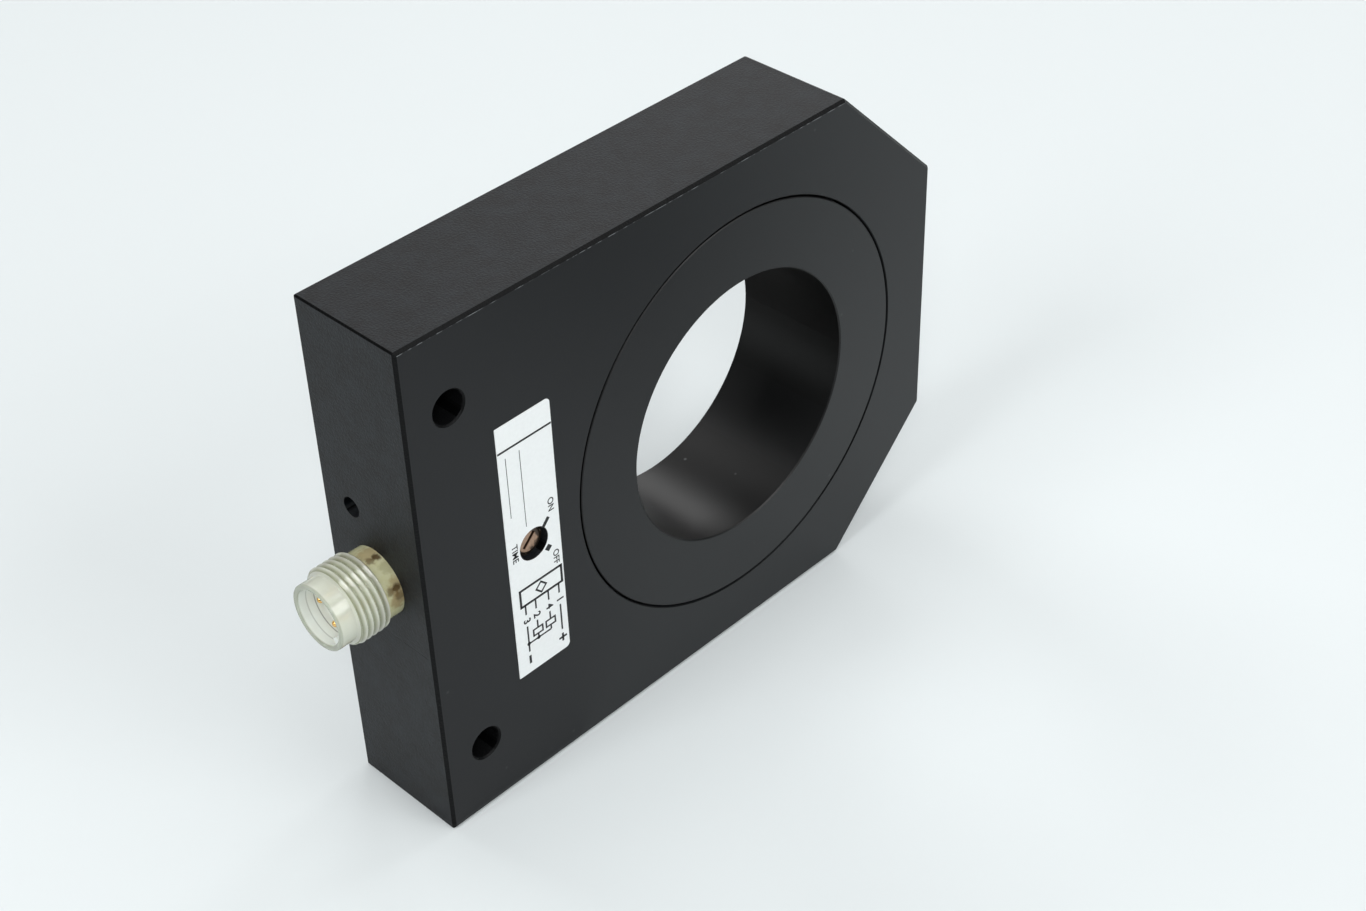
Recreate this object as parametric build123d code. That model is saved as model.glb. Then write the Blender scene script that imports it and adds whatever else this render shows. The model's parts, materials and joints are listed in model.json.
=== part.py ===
from build123d import *
import math
import os

# Inductive ring sensor, in millimetres.
# X runs along the length and the plug points to -X. Y runs through the thickness and the label faces -Y.
# Z is up. The origin is on the axis of the bore, midway between the front and back faces.

# Coil and bore, from the bore outwards
BORE_DIAMETER = 44.0
BORE_EDGE = 0.2
LINER_WALL = 2.2
WINDING_THICKNESS = 5.3
TAPE_THICKNESS = 0.3
REAR_FLANGE_LIP = 1.65
FRONT_FLANGE_LIP = 1.5
FLANGE_GAP = 0.3
FRONT_FLANGE_THICKNESS = 3.0
REAR_FLANGE_THICKNESS = 1.5
LINER_FIT = 0.05
WINDING_FIT = 0.05

# Thickness of the block, from the front face to the back face
FRONT_WALL = 2.5
FRONT_SPACE = 7.75
BOARD_THICKNESS = 1.6
REAR_SPACE = 6.15
COVER_THICKNESS = 2.0
COIL_BACK_WALL = 3.0

# Walls and outline of the block
SIDE_WALL = 8.95
CORNER_CUT = 20.0
FACE_CHAMFER = 0.45
OUTLINE_EDGE = 0.25
POCKET_EDGE = 0.12
END_WALL = 4.0
PARTITION = 2.4

# Electronics pocket, board and cover
POCKET_LENGTH = 22.05
BOARD_WIDTH = 39.0
BOARD_FIT = 0.2
BOARD_SETBACK = 7.5
BOARD_LEDGE = 1.5
POCKET_CORNER = 1.5
COVER_LIP = 1.5
COVER_FIT = 0.1
POST_RADIUS = 0.9
POST_INSET = 1.3

# Mounting holes
MOUNT_HOLE_DIAMETER = 5.1
MOUNT_HOLE_SPACING = 60.0
MOUNT_HOLE_FROM_END = 7.5
MOUNT_HOLE_EDGE = 0.25

# Label
LABEL_WIDTH = 9.85
LABEL_HEIGHT = 45.0
LABEL_THICKNESS = 0.12
LABEL_CORNER = 0.75
LABEL_FROM_END = 19.45
LABEL_RISE = 0.05
LABEL_TILT = -0.45

# Trimmer
TRIMMER_FROM_END = 19.45
TRIMMER_BODY = 7.0
TRIMMER_WALL = 0.6
TRIMMER_TOP = 1.0
TRIMMER_TOP_GAP = 0.3
TRIMMER_CORNER = 0.4
ACCESS_DIAMETER = 5.3
COLLAR_FIT = 0.1
COLLAR_DEPTH = 1.25
ROTOR_DIAMETER = 3.9
ROTOR_DEPTH = 1.0
ROTOR_FIT = 0.05
ROTOR_LIP = 0.85
ROTOR_LIP_THICKNESS = 1.0
ROTOR_EDGE = 0.1
SLOT_LENGTH = 2.9
SLOT_WIDTH = 0.6
SLOT_DEPTH = 0.6
SLOT_ANGLE = 45.0
WIPER_THICKNESS = 0.2
WIPER_SETBACK = 0.2
WIPER_DIMPLE = 0.25
WIPER_DIMPLE_DIAMETER = 0.6
WIPER_DIMPLE_INSET = 0.5
TRACK_THICKNESS = 0.8
TRACK_GAP = 0.03
TRIMMER_LEAD_DIAMETER = 0.6
TRIMMER_LEAD_REACH = 2.0
TRIMMER_LEAD_SPLAY = 1.6

# Plug
PLUG_THREAD_DIAMETER = 12.0
PLUG_NOSE_DIAMETER = 10.2
PLUG_NECK_DIAMETER = 10.64
PLUG_NECK_LENGTH = 2.6
PLUG_THREAD_LENGTH = 5.3
PLUG_NOSE_LENGTH = 2.7
PLUG_SEAT_DEPTH = 3.0
PLUG_SPIGOT_DIAMETER = 8.4
PLUG_SPIGOT_STAND = 1.0
PLUG_SOCKET_DIAMETER = 8.5
PLUG_SOCKET_DEPTH = 7.6
PLUG_MOUTH_CHAMFER = 0.3
PLUG_RIM_EDGE = 0.15
PLUG_FIT = 0.05
KEY_WIDTH = 1.2
KEY_HEIGHT = 0.85
KEY_SETBACK = 0.6
KEY_ROOT = 0.3
KEY_ANGLE = 225.0
PIN_DIAMETER = 1.0
PIN_TIP_RADIUS = 0.45
PIN_CIRCLE_DIAMETER = 5.4
PIN_SETBACK = 2.25
PIN_FIT = 0.02
PIN_TAIL = 1.5

# Indicator lamps
LAMP_DIAMETER = 3.0
LAMP_LENGTH = 4.3
LAMP_FLANGE_DIAMETER = 3.8
LAMP_FLANGE_LENGTH = 1.0
LAMP_HOLE_FIT = 0.1
LAMP_SETBACK = 1.2
LAMP_SPACING = 21.3
LAMP_ABOVE_BOARD = 0.05
LAMP_LEG_DIAMETER = 0.5
LAMP_LEG_PITCH = 2.54
LAMP_LEG_REACH = 7.4

# Wires
WIRE_DIAMETER = 1.0
WIRE_BEND = 0.8
WIRE_KNEE = 1.5
WIRE_END = 0.2
WIRE_HOLE_INSET = 1.75
WIRE_REAR_INSET = 3.5
WIRE_SPREAD = 4.2
WIRE_LIFT = 1.5
COIL_WIRE_DIAMETER = 0.5
COIL_WIRE_SPACING = 3.0
COIL_WIRE_HEIGHT = 1.35
COIL_WIRE_SLOT = 1.6
COIL_WIRE_SLOT_WIDTH = 5.0
COIL_PAD_INSET = 2.8
TAPE_MARGIN = 0.3
TAPE_WIDTH = 8.6
HOLE_FIT = 0.1
LEAD_STAND = 0.5

# Board components: a size is length, width and height, and a span is from lead tip to lead tip
PACKAGE_BEVEL = 0.2
PACKAGE_LIFT = 0.15
LEAD_ROOT = 0.3
CHIP_SIZE = (4.9, 3.9, 1.5)
CHIP_SPAN = 6.0
CHIP_PITCH = 1.27
CHIP_LEAD_WIDTH = 0.4
CHIP_LEAD_THICKNESS = 0.2
CHIP_LEAD_HEIGHT = 0.7
CHIP_MARK_DIAMETER = 0.6
CHIP_MARK_DEPTH = 0.1
CHIP_MARK_INSET = 0.8
TRANSISTOR_SIZE = (6.5, 3.5, 1.6)
TRANSISTOR_SPAN = 7.0
TRANSISTOR_PITCH = 2.3
TRANSISTOR_TAB = 3.0
REGULATOR_SIZE = (4.5, 2.5, 1.5)
REGULATOR_SPAN = 4.1
REGULATOR_PITCH = 1.5
REGULATOR_TAB = 1.8
TAB_THICKNESS = 0.3
TAB_LEAD_WIDTH = 0.7
DIODE_SIZE = (4.3, 2.6, 2.1)
DIODE_STRIP_WIDTH = 1.5
DIODE_STRIP_THICKNESS = 0.2
DIODE_STRIP_FOOT = 1.2
DIODE_STRIP_HEIGHT = 1.05
RESISTOR_SIZE = (2.0, 1.25, 0.5)
RESISTOR_CAP = 0.4
RESISTOR_CAP_STAND = 0.03
TANTALUM_SIZE = (3.5, 2.8, 1.9)
TANTALUM_BEVEL = 0.3
TANTALUM_STRIP_WIDTH = 2.2
TANTALUM_STRIP_THICKNESS = 0.15
TANTALUM_STRIP_HEIGHT = 0.95
FILM_CAPACITOR_SIZE = (7.2, 2.3, 5.5)
FILM_CAPACITOR_CORNER = 0.4
CAN_DIAMETER = 4.0
CAN_HEIGHT = 4.6
CAN_EDGE = 0.3
CAN_BASE = (4.3, 4.3, 0.7)
CAN_BASE_CORNER = 0.5

# Places on the board, from its edge inwards or from the trimmer
OUTER_INSET = 4.3
CHIP_STEP = 4.7
TRANSISTOR_STEP = 6.7
RESISTOR_INNER = (3.6, 2.8)
RESISTOR_MIDDLE = (4.9, 7.3)
DIODE_STEP = 4.9

# Radii of the coil assembly
BORE_RADIUS = BORE_DIAMETER / 2
LINER_RADIUS = BORE_RADIUS + LINER_WALL
WINDING_RADIUS = LINER_RADIUS + WINDING_FIT + WINDING_THICKNESS
TAPE_RADIUS = WINDING_RADIUS + TAPE_THICKNESS
REAR_FLANGE_RADIUS = TAPE_RADIUS + REAR_FLANGE_LIP
FRONT_FLANGE_RADIUS = REAR_FLANGE_RADIUS + FRONT_FLANGE_LIP
CHAMBER_RADIUS = REAR_FLANGE_RADIUS + FLANGE_GAP
POCKET_RADIUS = FRONT_FLANGE_RADIUS + FLANGE_GAP

# Depths along Y, from the front face at -Y
HOUSING_DEPTH = FRONT_WALL + FRONT_SPACE + BOARD_THICKNESS + REAR_SPACE + COVER_THICKNESS
FRONT_Y = -HOUSING_DEPTH / 2
BACK_Y = HOUSING_DEPTH / 2
WALL_Y = FRONT_Y + FRONT_WALL
BOARD_FRONT_Y = WALL_Y + FRONT_SPACE
BOARD_BACK_Y = BOARD_FRONT_Y + BOARD_THICKNESS
COVER_Y = BACK_Y - COVER_THICKNESS
FLANGE_BACK_Y = FRONT_Y + FRONT_FLANGE_THICKNESS
CHAMBER_BACK_Y = BACK_Y - COIL_BACK_WALL
REAR_FLANGE_Y = CHAMBER_BACK_Y - REAR_FLANGE_THICKNESS
COIL_WIRE_Y = BOARD_BACK_Y + COIL_WIRE_HEIGHT

# Overall outline
HOUSING_HEIGHT = 2 * (POCKET_RADIUS + SIDE_WALL)
HALF_HEIGHT = HOUSING_HEIGHT / 2
FAR_X = POCKET_RADIUS + SIDE_WALL
POCKET_FAR_X = -(POCKET_RADIUS + PARTITION)
POCKET_NEAR_X = POCKET_FAR_X - POCKET_LENGTH
END_X = POCKET_NEAR_X - END_WALL

# Board and pocket
BOARD_NEAR_X = POCKET_NEAR_X + BOARD_SETBACK
BOARD_FAR_X = POCKET_FAR_X - BOARD_FIT
BOARD_HALF = BOARD_WIDTH / 2
POCKET_HALF = BOARD_HALF + BOARD_FIT
LEDGE_HALF = BOARD_HALF - BOARD_LEDGE
TRIMMER_X = END_X + TRIMMER_FROM_END
LAMP_Y = BOARD_BACK_Y + LAMP_FLANGE_DIAMETER / 2 + LAMP_ABOVE_BOARD
LAMP_TIP_X = END_X + LAMP_SETBACK
LAMP_BACK_X = LAMP_TIP_X + LAMP_LENGTH
LAMP_HOLE_X = LAMP_BACK_X + LAMP_LEG_REACH

# Plug stations along X, outwards from the end face
THREAD_BACK_X = END_X - PLUG_NECK_LENGTH
THREAD_FRONT_X = THREAD_BACK_X - PLUG_THREAD_LENGTH
RIM_X = THREAD_FRONT_X - PLUG_NOSE_LENGTH
SOCKET_FLOOR_X = RIM_X + PLUG_SOCKET_DEPTH
SEAT_X = END_X + PLUG_SEAT_DEPTH
SPIGOT_BACK_X = POCKET_NEAR_X + PLUG_SPIGOT_STAND
PIN_TIP_X = RIM_X + PIN_SETBACK
PIN_BACK_X = SPIGOT_BACK_X + PIN_TAIL
WIRE_HOLE_X = BOARD_NEAR_X + WIRE_HOLE_INSET
WIRE_REAR_X = BOARD_NEAR_X + WIRE_REAR_INSET

# Trimmer stations along Y, inwards from the front face
COLLAR_Y = FRONT_Y + COLLAR_DEPTH
ROTOR_Y = FRONT_Y + ROTOR_DEPTH
TRIMMER_TOP_Y = WALL_Y + TRIMMER_TOP_GAP
CHAMBER_TOP_Y = TRIMMER_TOP_Y + TRIMMER_TOP
LIP_TOP_Y = CHAMBER_TOP_Y + ROTOR_FIT
LIP_BACK_Y = LIP_TOP_Y + ROTOR_LIP_THICKNESS
TRACK_Y = LIP_BACK_Y + WIPER_THICKNESS + WIPER_DIMPLE + TRACK_GAP
TRACK_BACK_Y = TRACK_Y + TRACK_THICKNESS
ROTOR_RADIUS = ROTOR_DIAMETER / 2
LIP_RADIUS = ROTOR_RADIUS + ROTOR_LIP
COLLAR_RADIUS = ACCESS_DIAMETER / 2 - COLLAR_FIT
TRIMMER_LEADS = [
    (-TRIMMER_LEAD_REACH, 0.0),
    (TRIMMER_LEAD_REACH, -TRIMMER_LEAD_SPLAY),
    (TRIMMER_LEAD_REACH, TRIMMER_LEAD_SPLAY),
]

CUT_PAST = 1.0


def block(x, y, z, corner=0.0):
    """A box between the given (low, high) pairs, with its edges along Y rounded where a corner is given."""
    solid = Box(x[1] - x[0], y[1] - y[0], z[1] - z[0])
    solid = Pos((x[0] + x[1]) / 2, (y[0] + y[1]) / 2, (z[0] + z[1]) / 2) * solid
    if corner:
        solid = fillet(solid.edges().filter_by(Axis.Y), corner)
    return solid


def disc(radius, y_low, y_high, x=0.0, z=0.0):
    """A cylinder along Y."""
    return Pos(x, (y_low + y_high) / 2, z) * Rot(90, 0, 0) * Cylinder(radius, y_high - y_low)


def rod(radius, x_low, x_high, y=0.0, z=0.0):
    """A cylinder along X."""
    return Pos((x_low + x_high) / 2, y, z) * Rot(0, 90, 0) * Cylinder(radius, x_high - x_low)


def turned(points, axis):
    """A closed outline in the XY plane, turned about the X or Y axis."""
    outline = make_face(Polyline(*points, close=True))
    return revolve(outline, axis=axis, revolution_arc=360)


def hole(radius, edge, x=0.0, z=0.0):
    """A cutter along Y from front to back, with a small chamfer at each mouth."""
    flare = edge + CUT_PAST
    outline = [
        (0, FRONT_Y - CUT_PAST),
        (radius + flare, FRONT_Y - CUT_PAST),
        (radius, FRONT_Y + edge),
        (radius, BACK_Y - edge),
        (radius + flare, BACK_Y + CUT_PAST),
        (0, BACK_Y + CUT_PAST),
    ]
    return Pos(x, 0, z) * turned(outline, Axis.Y)


def wire(points, diameter, bend):
    """A round wire along straight runs joined by arcs."""
    path = FilletPolyline(*points, radius=bend)
    profile = Plane(origin=path @ 0, z_dir=path % 0) * Circle(diameter / 2)
    return sweep(profile, path=path)


def on_back(solid, x, z, turn=0.0):
    """Stands a component, built on the XY plane, on the back of the board."""
    return Pos(x, BOARD_BACK_Y, z) * Rot(-90, 0, 0) * Rot(0, 0, turn) * solid


def on_front(solid, x, z, turn=0.0):
    """Stands a component, built on the XY plane, on the front of the board."""
    return Pos(x, BOARD_FRONT_Y, z) * Rot(90, 0, 0) * Rot(0, 0, turn) * solid


def lead_foot(inner, outer, y):
    """One bent chip lead, from inside the package down to a flat foot."""
    width = CHIP_LEAD_WIDTH
    thickness = CHIP_LEAD_THICKNESS
    top = CHIP_LEAD_HEIGHT + thickness / 2
    knee = (inner + outer) / 2
    beam = Pos((inner + knee) / 2, y, CHIP_LEAD_HEIGHT) * Box(abs(knee - inner) + thickness, width, thickness)
    drop = Pos(knee, y, top / 2) * Box(thickness, width, top)
    foot = Pos((knee + outer) / 2, y, thickness / 2) * Box(abs(outer - knee), width, thickness)
    return beam + drop + foot


def bevelled(length, width, low, high, bevel=PACKAGE_BEVEL):
    """A moulded package between two heights, bevelled round its top."""
    body = Pos(0, 0, (low + high) / 2) * Box(length, width, high - low)
    return chamfer(body.faces().sort_by(Axis.Z)[-1].edges(), bevel)


def small_chip():
    """Eight-lead integrated circuit, with its leads along X."""
    length, width, height = CHIP_SIZE
    body = bevelled(width, length, PACKAGE_LIFT, height)
    mark = Cylinder(CHIP_MARK_DIAMETER / 2, 2 * CHIP_MARK_DEPTH)
    body -= Pos(CHIP_MARK_INSET - width / 2, length / 2 - CHIP_MARK_INSET, height) * mark
    for side in (-1, 1):
        for row in (-1.5, -0.5, 0.5, 1.5):
            body += lead_foot(side * (width / 2 - LEAD_ROOT), side * CHIP_SPAN / 2, row * CHIP_PITCH)
    return body


def power_package(size, span, pitch, tab_width):
    """Three-lead power package, with its leads at -Y and its cooling tab at +Y."""
    length, width, height = size
    body = bevelled(length, width, 0, height)
    reach = (span - width) / 2 + LEAD_ROOT
    middle = span / 2 - reach / 2
    body += Pos(0, middle, TAB_THICKNESS / 2) * Box(tab_width, reach, TAB_THICKNESS)
    for place in (-1, 0, 1):
        body += Pos(place * pitch, -middle, TAB_THICKNESS / 2) * Box(TAB_LEAD_WIDTH, reach, TAB_THICKNESS)
    return body


def power_diode():
    """Moulded diode with a folded terminal at each end."""
    length, width, height = DIODE_SIZE
    thickness = DIODE_STRIP_THICKNESS
    body = bevelled(length - 2 * thickness, width, thickness, height)
    for side in (-1, 1):
        strip = Box(2 * thickness, DIODE_STRIP_WIDTH, DIODE_STRIP_HEIGHT)
        foot = Box(DIODE_STRIP_FOOT, DIODE_STRIP_WIDTH, 2 * thickness)
        body += Pos(side * (length / 2 - thickness), 0, DIODE_STRIP_HEIGHT / 2) * strip
        body += Pos(side * (length - DIODE_STRIP_FOOT) / 2, 0, thickness) * foot
    return body


def chip_resistor():
    """Flat chip resistor with raised end caps."""
    length, width, height = RESISTOR_SIZE
    body = Pos(0, 0, height / 2) * Box(length, width, height - 2 * RESISTOR_CAP_STAND)
    for side in (-1, 1):
        body += Pos(side * (length - RESISTOR_CAP) / 2, 0, height / 2) * Box(RESISTOR_CAP, width, height)
    return body


def tantalum_capacitor():
    """Moulded capacitor with a bevelled top and two end terminals."""
    length, width, height = TANTALUM_SIZE
    thickness = TANTALUM_STRIP_THICKNESS
    body = bevelled(length - 2 * thickness, width, 0, height, TANTALUM_BEVEL)
    for side in (-1, 1):
        strip = Box(2 * thickness, TANTALUM_STRIP_WIDTH, TANTALUM_STRIP_HEIGHT)
        body += Pos(side * (length / 2 - thickness), 0, TANTALUM_STRIP_HEIGHT / 2) * strip
    return body


def film_capacitor():
    """Boxed film capacitor with rounded corners."""
    length, width, height = FILM_CAPACITOR_SIZE
    body = Pos(0, 0, height / 2) * Box(length, width, height)
    return fillet(body.edges().filter_by(Axis.Z), FILM_CAPACITOR_CORNER)


def can_capacitor():
    """Electrolytic can on a square moulded base."""
    length, width, height = CAN_BASE
    base = Pos(0, 0, height / 2) * Box(length, width, height)
    base = chamfer(base.edges().filter_by(Axis.Z), CAN_BASE_CORNER)
    can = Pos(0, 0, (height + CAN_HEIGHT) / 2) * Cylinder(CAN_DIAMETER / 2, CAN_HEIGHT - height)
    can = fillet(can.faces().sort_by(Axis.Z)[-1].edges(), CAN_EDGE)
    return base + can


def pin_places():
    """Angle, Y and Z of each contact pin, which stand on one circle a quarter turn apart."""
    radius = PIN_CIRCLE_DIAMETER / 2
    for turn in (90, 180, 270, 0):
        yield turn, radius * math.cos(math.radians(turn)), radius * math.sin(math.radians(turn))


def lamp_places():
    """Height of each lamp."""
    return (LAMP_SPACING / 2, -LAMP_SPACING / 2)


def make_housing():
    """The one-piece block, with its coil chamber open to the front and its board pocket open to the back."""
    outline = [
        (END_X, FRONT_Y, HALF_HEIGHT),
        (FAR_X - CORNER_CUT, FRONT_Y, HALF_HEIGHT),
        (FAR_X, FRONT_Y, HALF_HEIGHT - CORNER_CUT),
        (FAR_X, FRONT_Y, CORNER_CUT - HALF_HEIGHT),
        (FAR_X - CORNER_CUT, FRONT_Y, -HALF_HEIGHT),
        (END_X, FRONT_Y, -HALF_HEIGHT),
    ]
    housing = extrude(make_face(Polyline(*outline, close=True)), amount=HOUSING_DEPTH, dir=(0, 1, 0))
    faces = housing.faces().sort_by(Axis.Y)
    housing = chamfer(faces[0].edges() + faces[-1].edges(), FACE_CHAMFER)
    housing = chamfer(housing.edges().filter_by(Axis.Y), OUTLINE_EDGE)

    flare = POCKET_EDGE + CUT_PAST
    chamber = [
        (0, FRONT_Y - CUT_PAST),
        (POCKET_RADIUS + flare, FRONT_Y - CUT_PAST),
        (POCKET_RADIUS, FRONT_Y + POCKET_EDGE),
        (POCKET_RADIUS, FLANGE_BACK_Y),
        (CHAMBER_RADIUS, FLANGE_BACK_Y),
        (CHAMBER_RADIUS, CHAMBER_BACK_Y),
        (LINER_RADIUS + LINER_FIT, CHAMBER_BACK_Y),
        (LINER_RADIUS + LINER_FIT, BACK_Y + CUT_PAST),
        (0, BACK_Y + CUT_PAST),
    ]
    housing -= turned(chamber, Axis.Y)

    along = (POCKET_NEAR_X, POCKET_FAR_X)
    housing -= block(along, (WALL_Y, BOARD_FRONT_Y + CUT_PAST), (-LEDGE_HALF, LEDGE_HALF), POCKET_CORNER)
    housing -= block(along, (BOARD_FRONT_Y, BACK_Y), (-POCKET_HALF, POCKET_HALF), POCKET_CORNER)
    recess = POCKET_HALF + COVER_LIP
    housing -= block(
        (POCKET_NEAR_X - COVER_LIP, POCKET_FAR_X + COVER_LIP),
        (COVER_Y, BACK_Y + CUT_PAST),
        (-recess, recess),
        POCKET_CORNER + COVER_LIP,
    )
    housing -= block(
        (POCKET_FAR_X - CUT_PAST, -WINDING_RADIUS),
        (COIL_WIRE_Y - COIL_WIRE_SLOT / 2, COIL_WIRE_Y + COIL_WIRE_SLOT / 2),
        (-COIL_WIRE_SLOT_WIDTH / 2, COIL_WIRE_SLOT_WIDTH / 2),
    )

    housing -= disc(ACCESS_DIAMETER / 2, FRONT_Y - CUT_PAST, WALL_Y + CUT_PAST, TRIMMER_X)
    housing -= rod(PLUG_NECK_DIAMETER / 2 + PLUG_FIT, END_X - CUT_PAST, SEAT_X)
    housing -= rod(PLUG_SPIGOT_DIAMETER / 2 + PLUG_FIT, END_X, POCKET_NEAR_X + CUT_PAST)
    lamp_hole = LAMP_DIAMETER / 2 + LAMP_HOLE_FIT
    for z in lamp_places():
        housing -= rod(lamp_hole, END_X - CUT_PAST, POCKET_NEAR_X + CUT_PAST, LAMP_Y, z)
    for z in (-MOUNT_HOLE_SPACING / 2, MOUNT_HOLE_SPACING / 2):
        housing -= hole(MOUNT_HOLE_DIAMETER / 2, MOUNT_HOLE_EDGE, END_X + MOUNT_HOLE_FROM_END, z)
    return housing


def make_coil_former():
    """Flanged spool: its liner is the bore, and its front flange closes the coil chamber."""
    spool = [
        (BORE_RADIUS + BORE_EDGE, FRONT_Y),
        (FRONT_FLANGE_RADIUS - POCKET_EDGE, FRONT_Y),
        (FRONT_FLANGE_RADIUS, FRONT_Y + POCKET_EDGE),
        (FRONT_FLANGE_RADIUS, FLANGE_BACK_Y),
        (LINER_RADIUS, FLANGE_BACK_Y),
        (LINER_RADIUS, REAR_FLANGE_Y),
        (REAR_FLANGE_RADIUS, REAR_FLANGE_Y),
        (REAR_FLANGE_RADIUS, CHAMBER_BACK_Y),
        (LINER_RADIUS, CHAMBER_BACK_Y),
        (LINER_RADIUS, BACK_Y),
        (BORE_RADIUS + BORE_EDGE, BACK_Y),
        (BORE_RADIUS, BACK_Y - BORE_EDGE),
        (BORE_RADIUS, FRONT_Y + BORE_EDGE),
    ]
    return turned(spool, Axis.Y)


def make_coil():
    """The winding, the tape round it and the two enamelled wires that lead to the board."""
    inner = LINER_RADIUS + WINDING_FIT
    front = FLANGE_BACK_Y + WINDING_FIT
    back = REAR_FLANGE_Y - WINDING_FIT
    winding = disc(WINDING_RADIUS, front, back) - disc(inner, front - CUT_PAST, back + CUT_PAST)
    tape_front = front + TAPE_MARGIN
    tape_back = tape_front + TAPE_WIDTH
    tape = disc(TAPE_RADIUS, tape_front, tape_back)
    tape -= disc(WINDING_RADIUS, tape_front - CUT_PAST, tape_back + CUT_PAST)
    pieces = {"coil_winding": winding, "coil_tape": tape}
    for number, side in enumerate((1, -1), start=1):
        z = side * COIL_WIRE_SPACING / 2
        pad_x = BOARD_FAR_X - COIL_PAD_INSET
        route = [
            (-WINDING_RADIUS + CUT_PAST, COIL_WIRE_Y, z),
            (pad_x, COIL_WIRE_Y, z),
            (pad_x, BOARD_BACK_Y, z),
        ]
        lead = wire(route, COIL_WIRE_DIAMETER, WIRE_BEND)
        lead -= disc(WINDING_RADIUS, front, back)
        pieces[f"coil_lead_{number}"] = lead
    return pieces


def make_cover():
    """Flush rear cover, with four posts that hold the board down on its ledges."""
    half = POCKET_HALF + COVER_LIP - COVER_FIT
    cover = block(
        (POCKET_NEAR_X - COVER_LIP + COVER_FIT, POCKET_FAR_X + COVER_LIP - COVER_FIT),
        (COVER_Y, BACK_Y),
        (-half, half),
        POCKET_CORNER + COVER_LIP - COVER_FIT,
    )
    for x in (BOARD_NEAR_X + POST_INSET, BOARD_FAR_X - POST_INSET):
        for z in (POST_INSET - BOARD_HALF, BOARD_HALF - POST_INSET):
            cover += disc(POST_RADIUS, BOARD_BACK_Y, COVER_Y, x, z)
    return cover


def make_label():
    """Thin adhesive label on the front, pierced for the trimmer, with the corners nearest the bore rounded."""
    label = Box(LABEL_WIDTH, LABEL_THICKNESS, LABEL_HEIGHT)
    far_edges = label.edges().filter_by(Axis.Y).sort_by(Axis.X)[-2:]
    label = fillet(far_edges, LABEL_CORNER)
    place = Pos(END_X + LABEL_FROM_END, FRONT_Y - LABEL_THICKNESS / 2, LABEL_RISE)
    label = place * Rot(0, LABEL_TILT, 0) * label
    return label - disc(ACCESS_DIAMETER / 2, FRONT_Y - CUT_PAST, FRONT_Y + CUT_PAST, TRIMMER_X)


def make_board():
    """Printed circuit board, drilled for every lead that passes through it."""
    board = block(
        (BOARD_NEAR_X, BOARD_FAR_X),
        (BOARD_FRONT_Y, BOARD_BACK_Y),
        (-BOARD_HALF, BOARD_HALF),
        POCKET_CORNER,
    )
    lead = TRIMMER_LEAD_DIAMETER / 2
    drills = [(TRIMMER_X + x, z, lead) for x, z in TRIMMER_LEADS]
    for centre in lamp_places():
        for side in (-1, 1):
            drills.append((LAMP_HOLE_X, centre + side * LAMP_LEG_PITCH / 2, LAMP_LEG_DIAMETER / 2))
    for z in (-WIRE_SPREAD, 0, WIRE_SPREAD):
        drills.append((WIRE_HOLE_X, z, WIRE_DIAMETER / 2))
    drills.append((WIRE_REAR_X, 0, WIRE_DIAMETER / 2))
    for x, z, radius in drills:
        board -= disc(radius + HOLE_FIT, BOARD_FRONT_Y - CUT_PAST, BOARD_BACK_Y + CUT_PAST, x, z)
    return board


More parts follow.
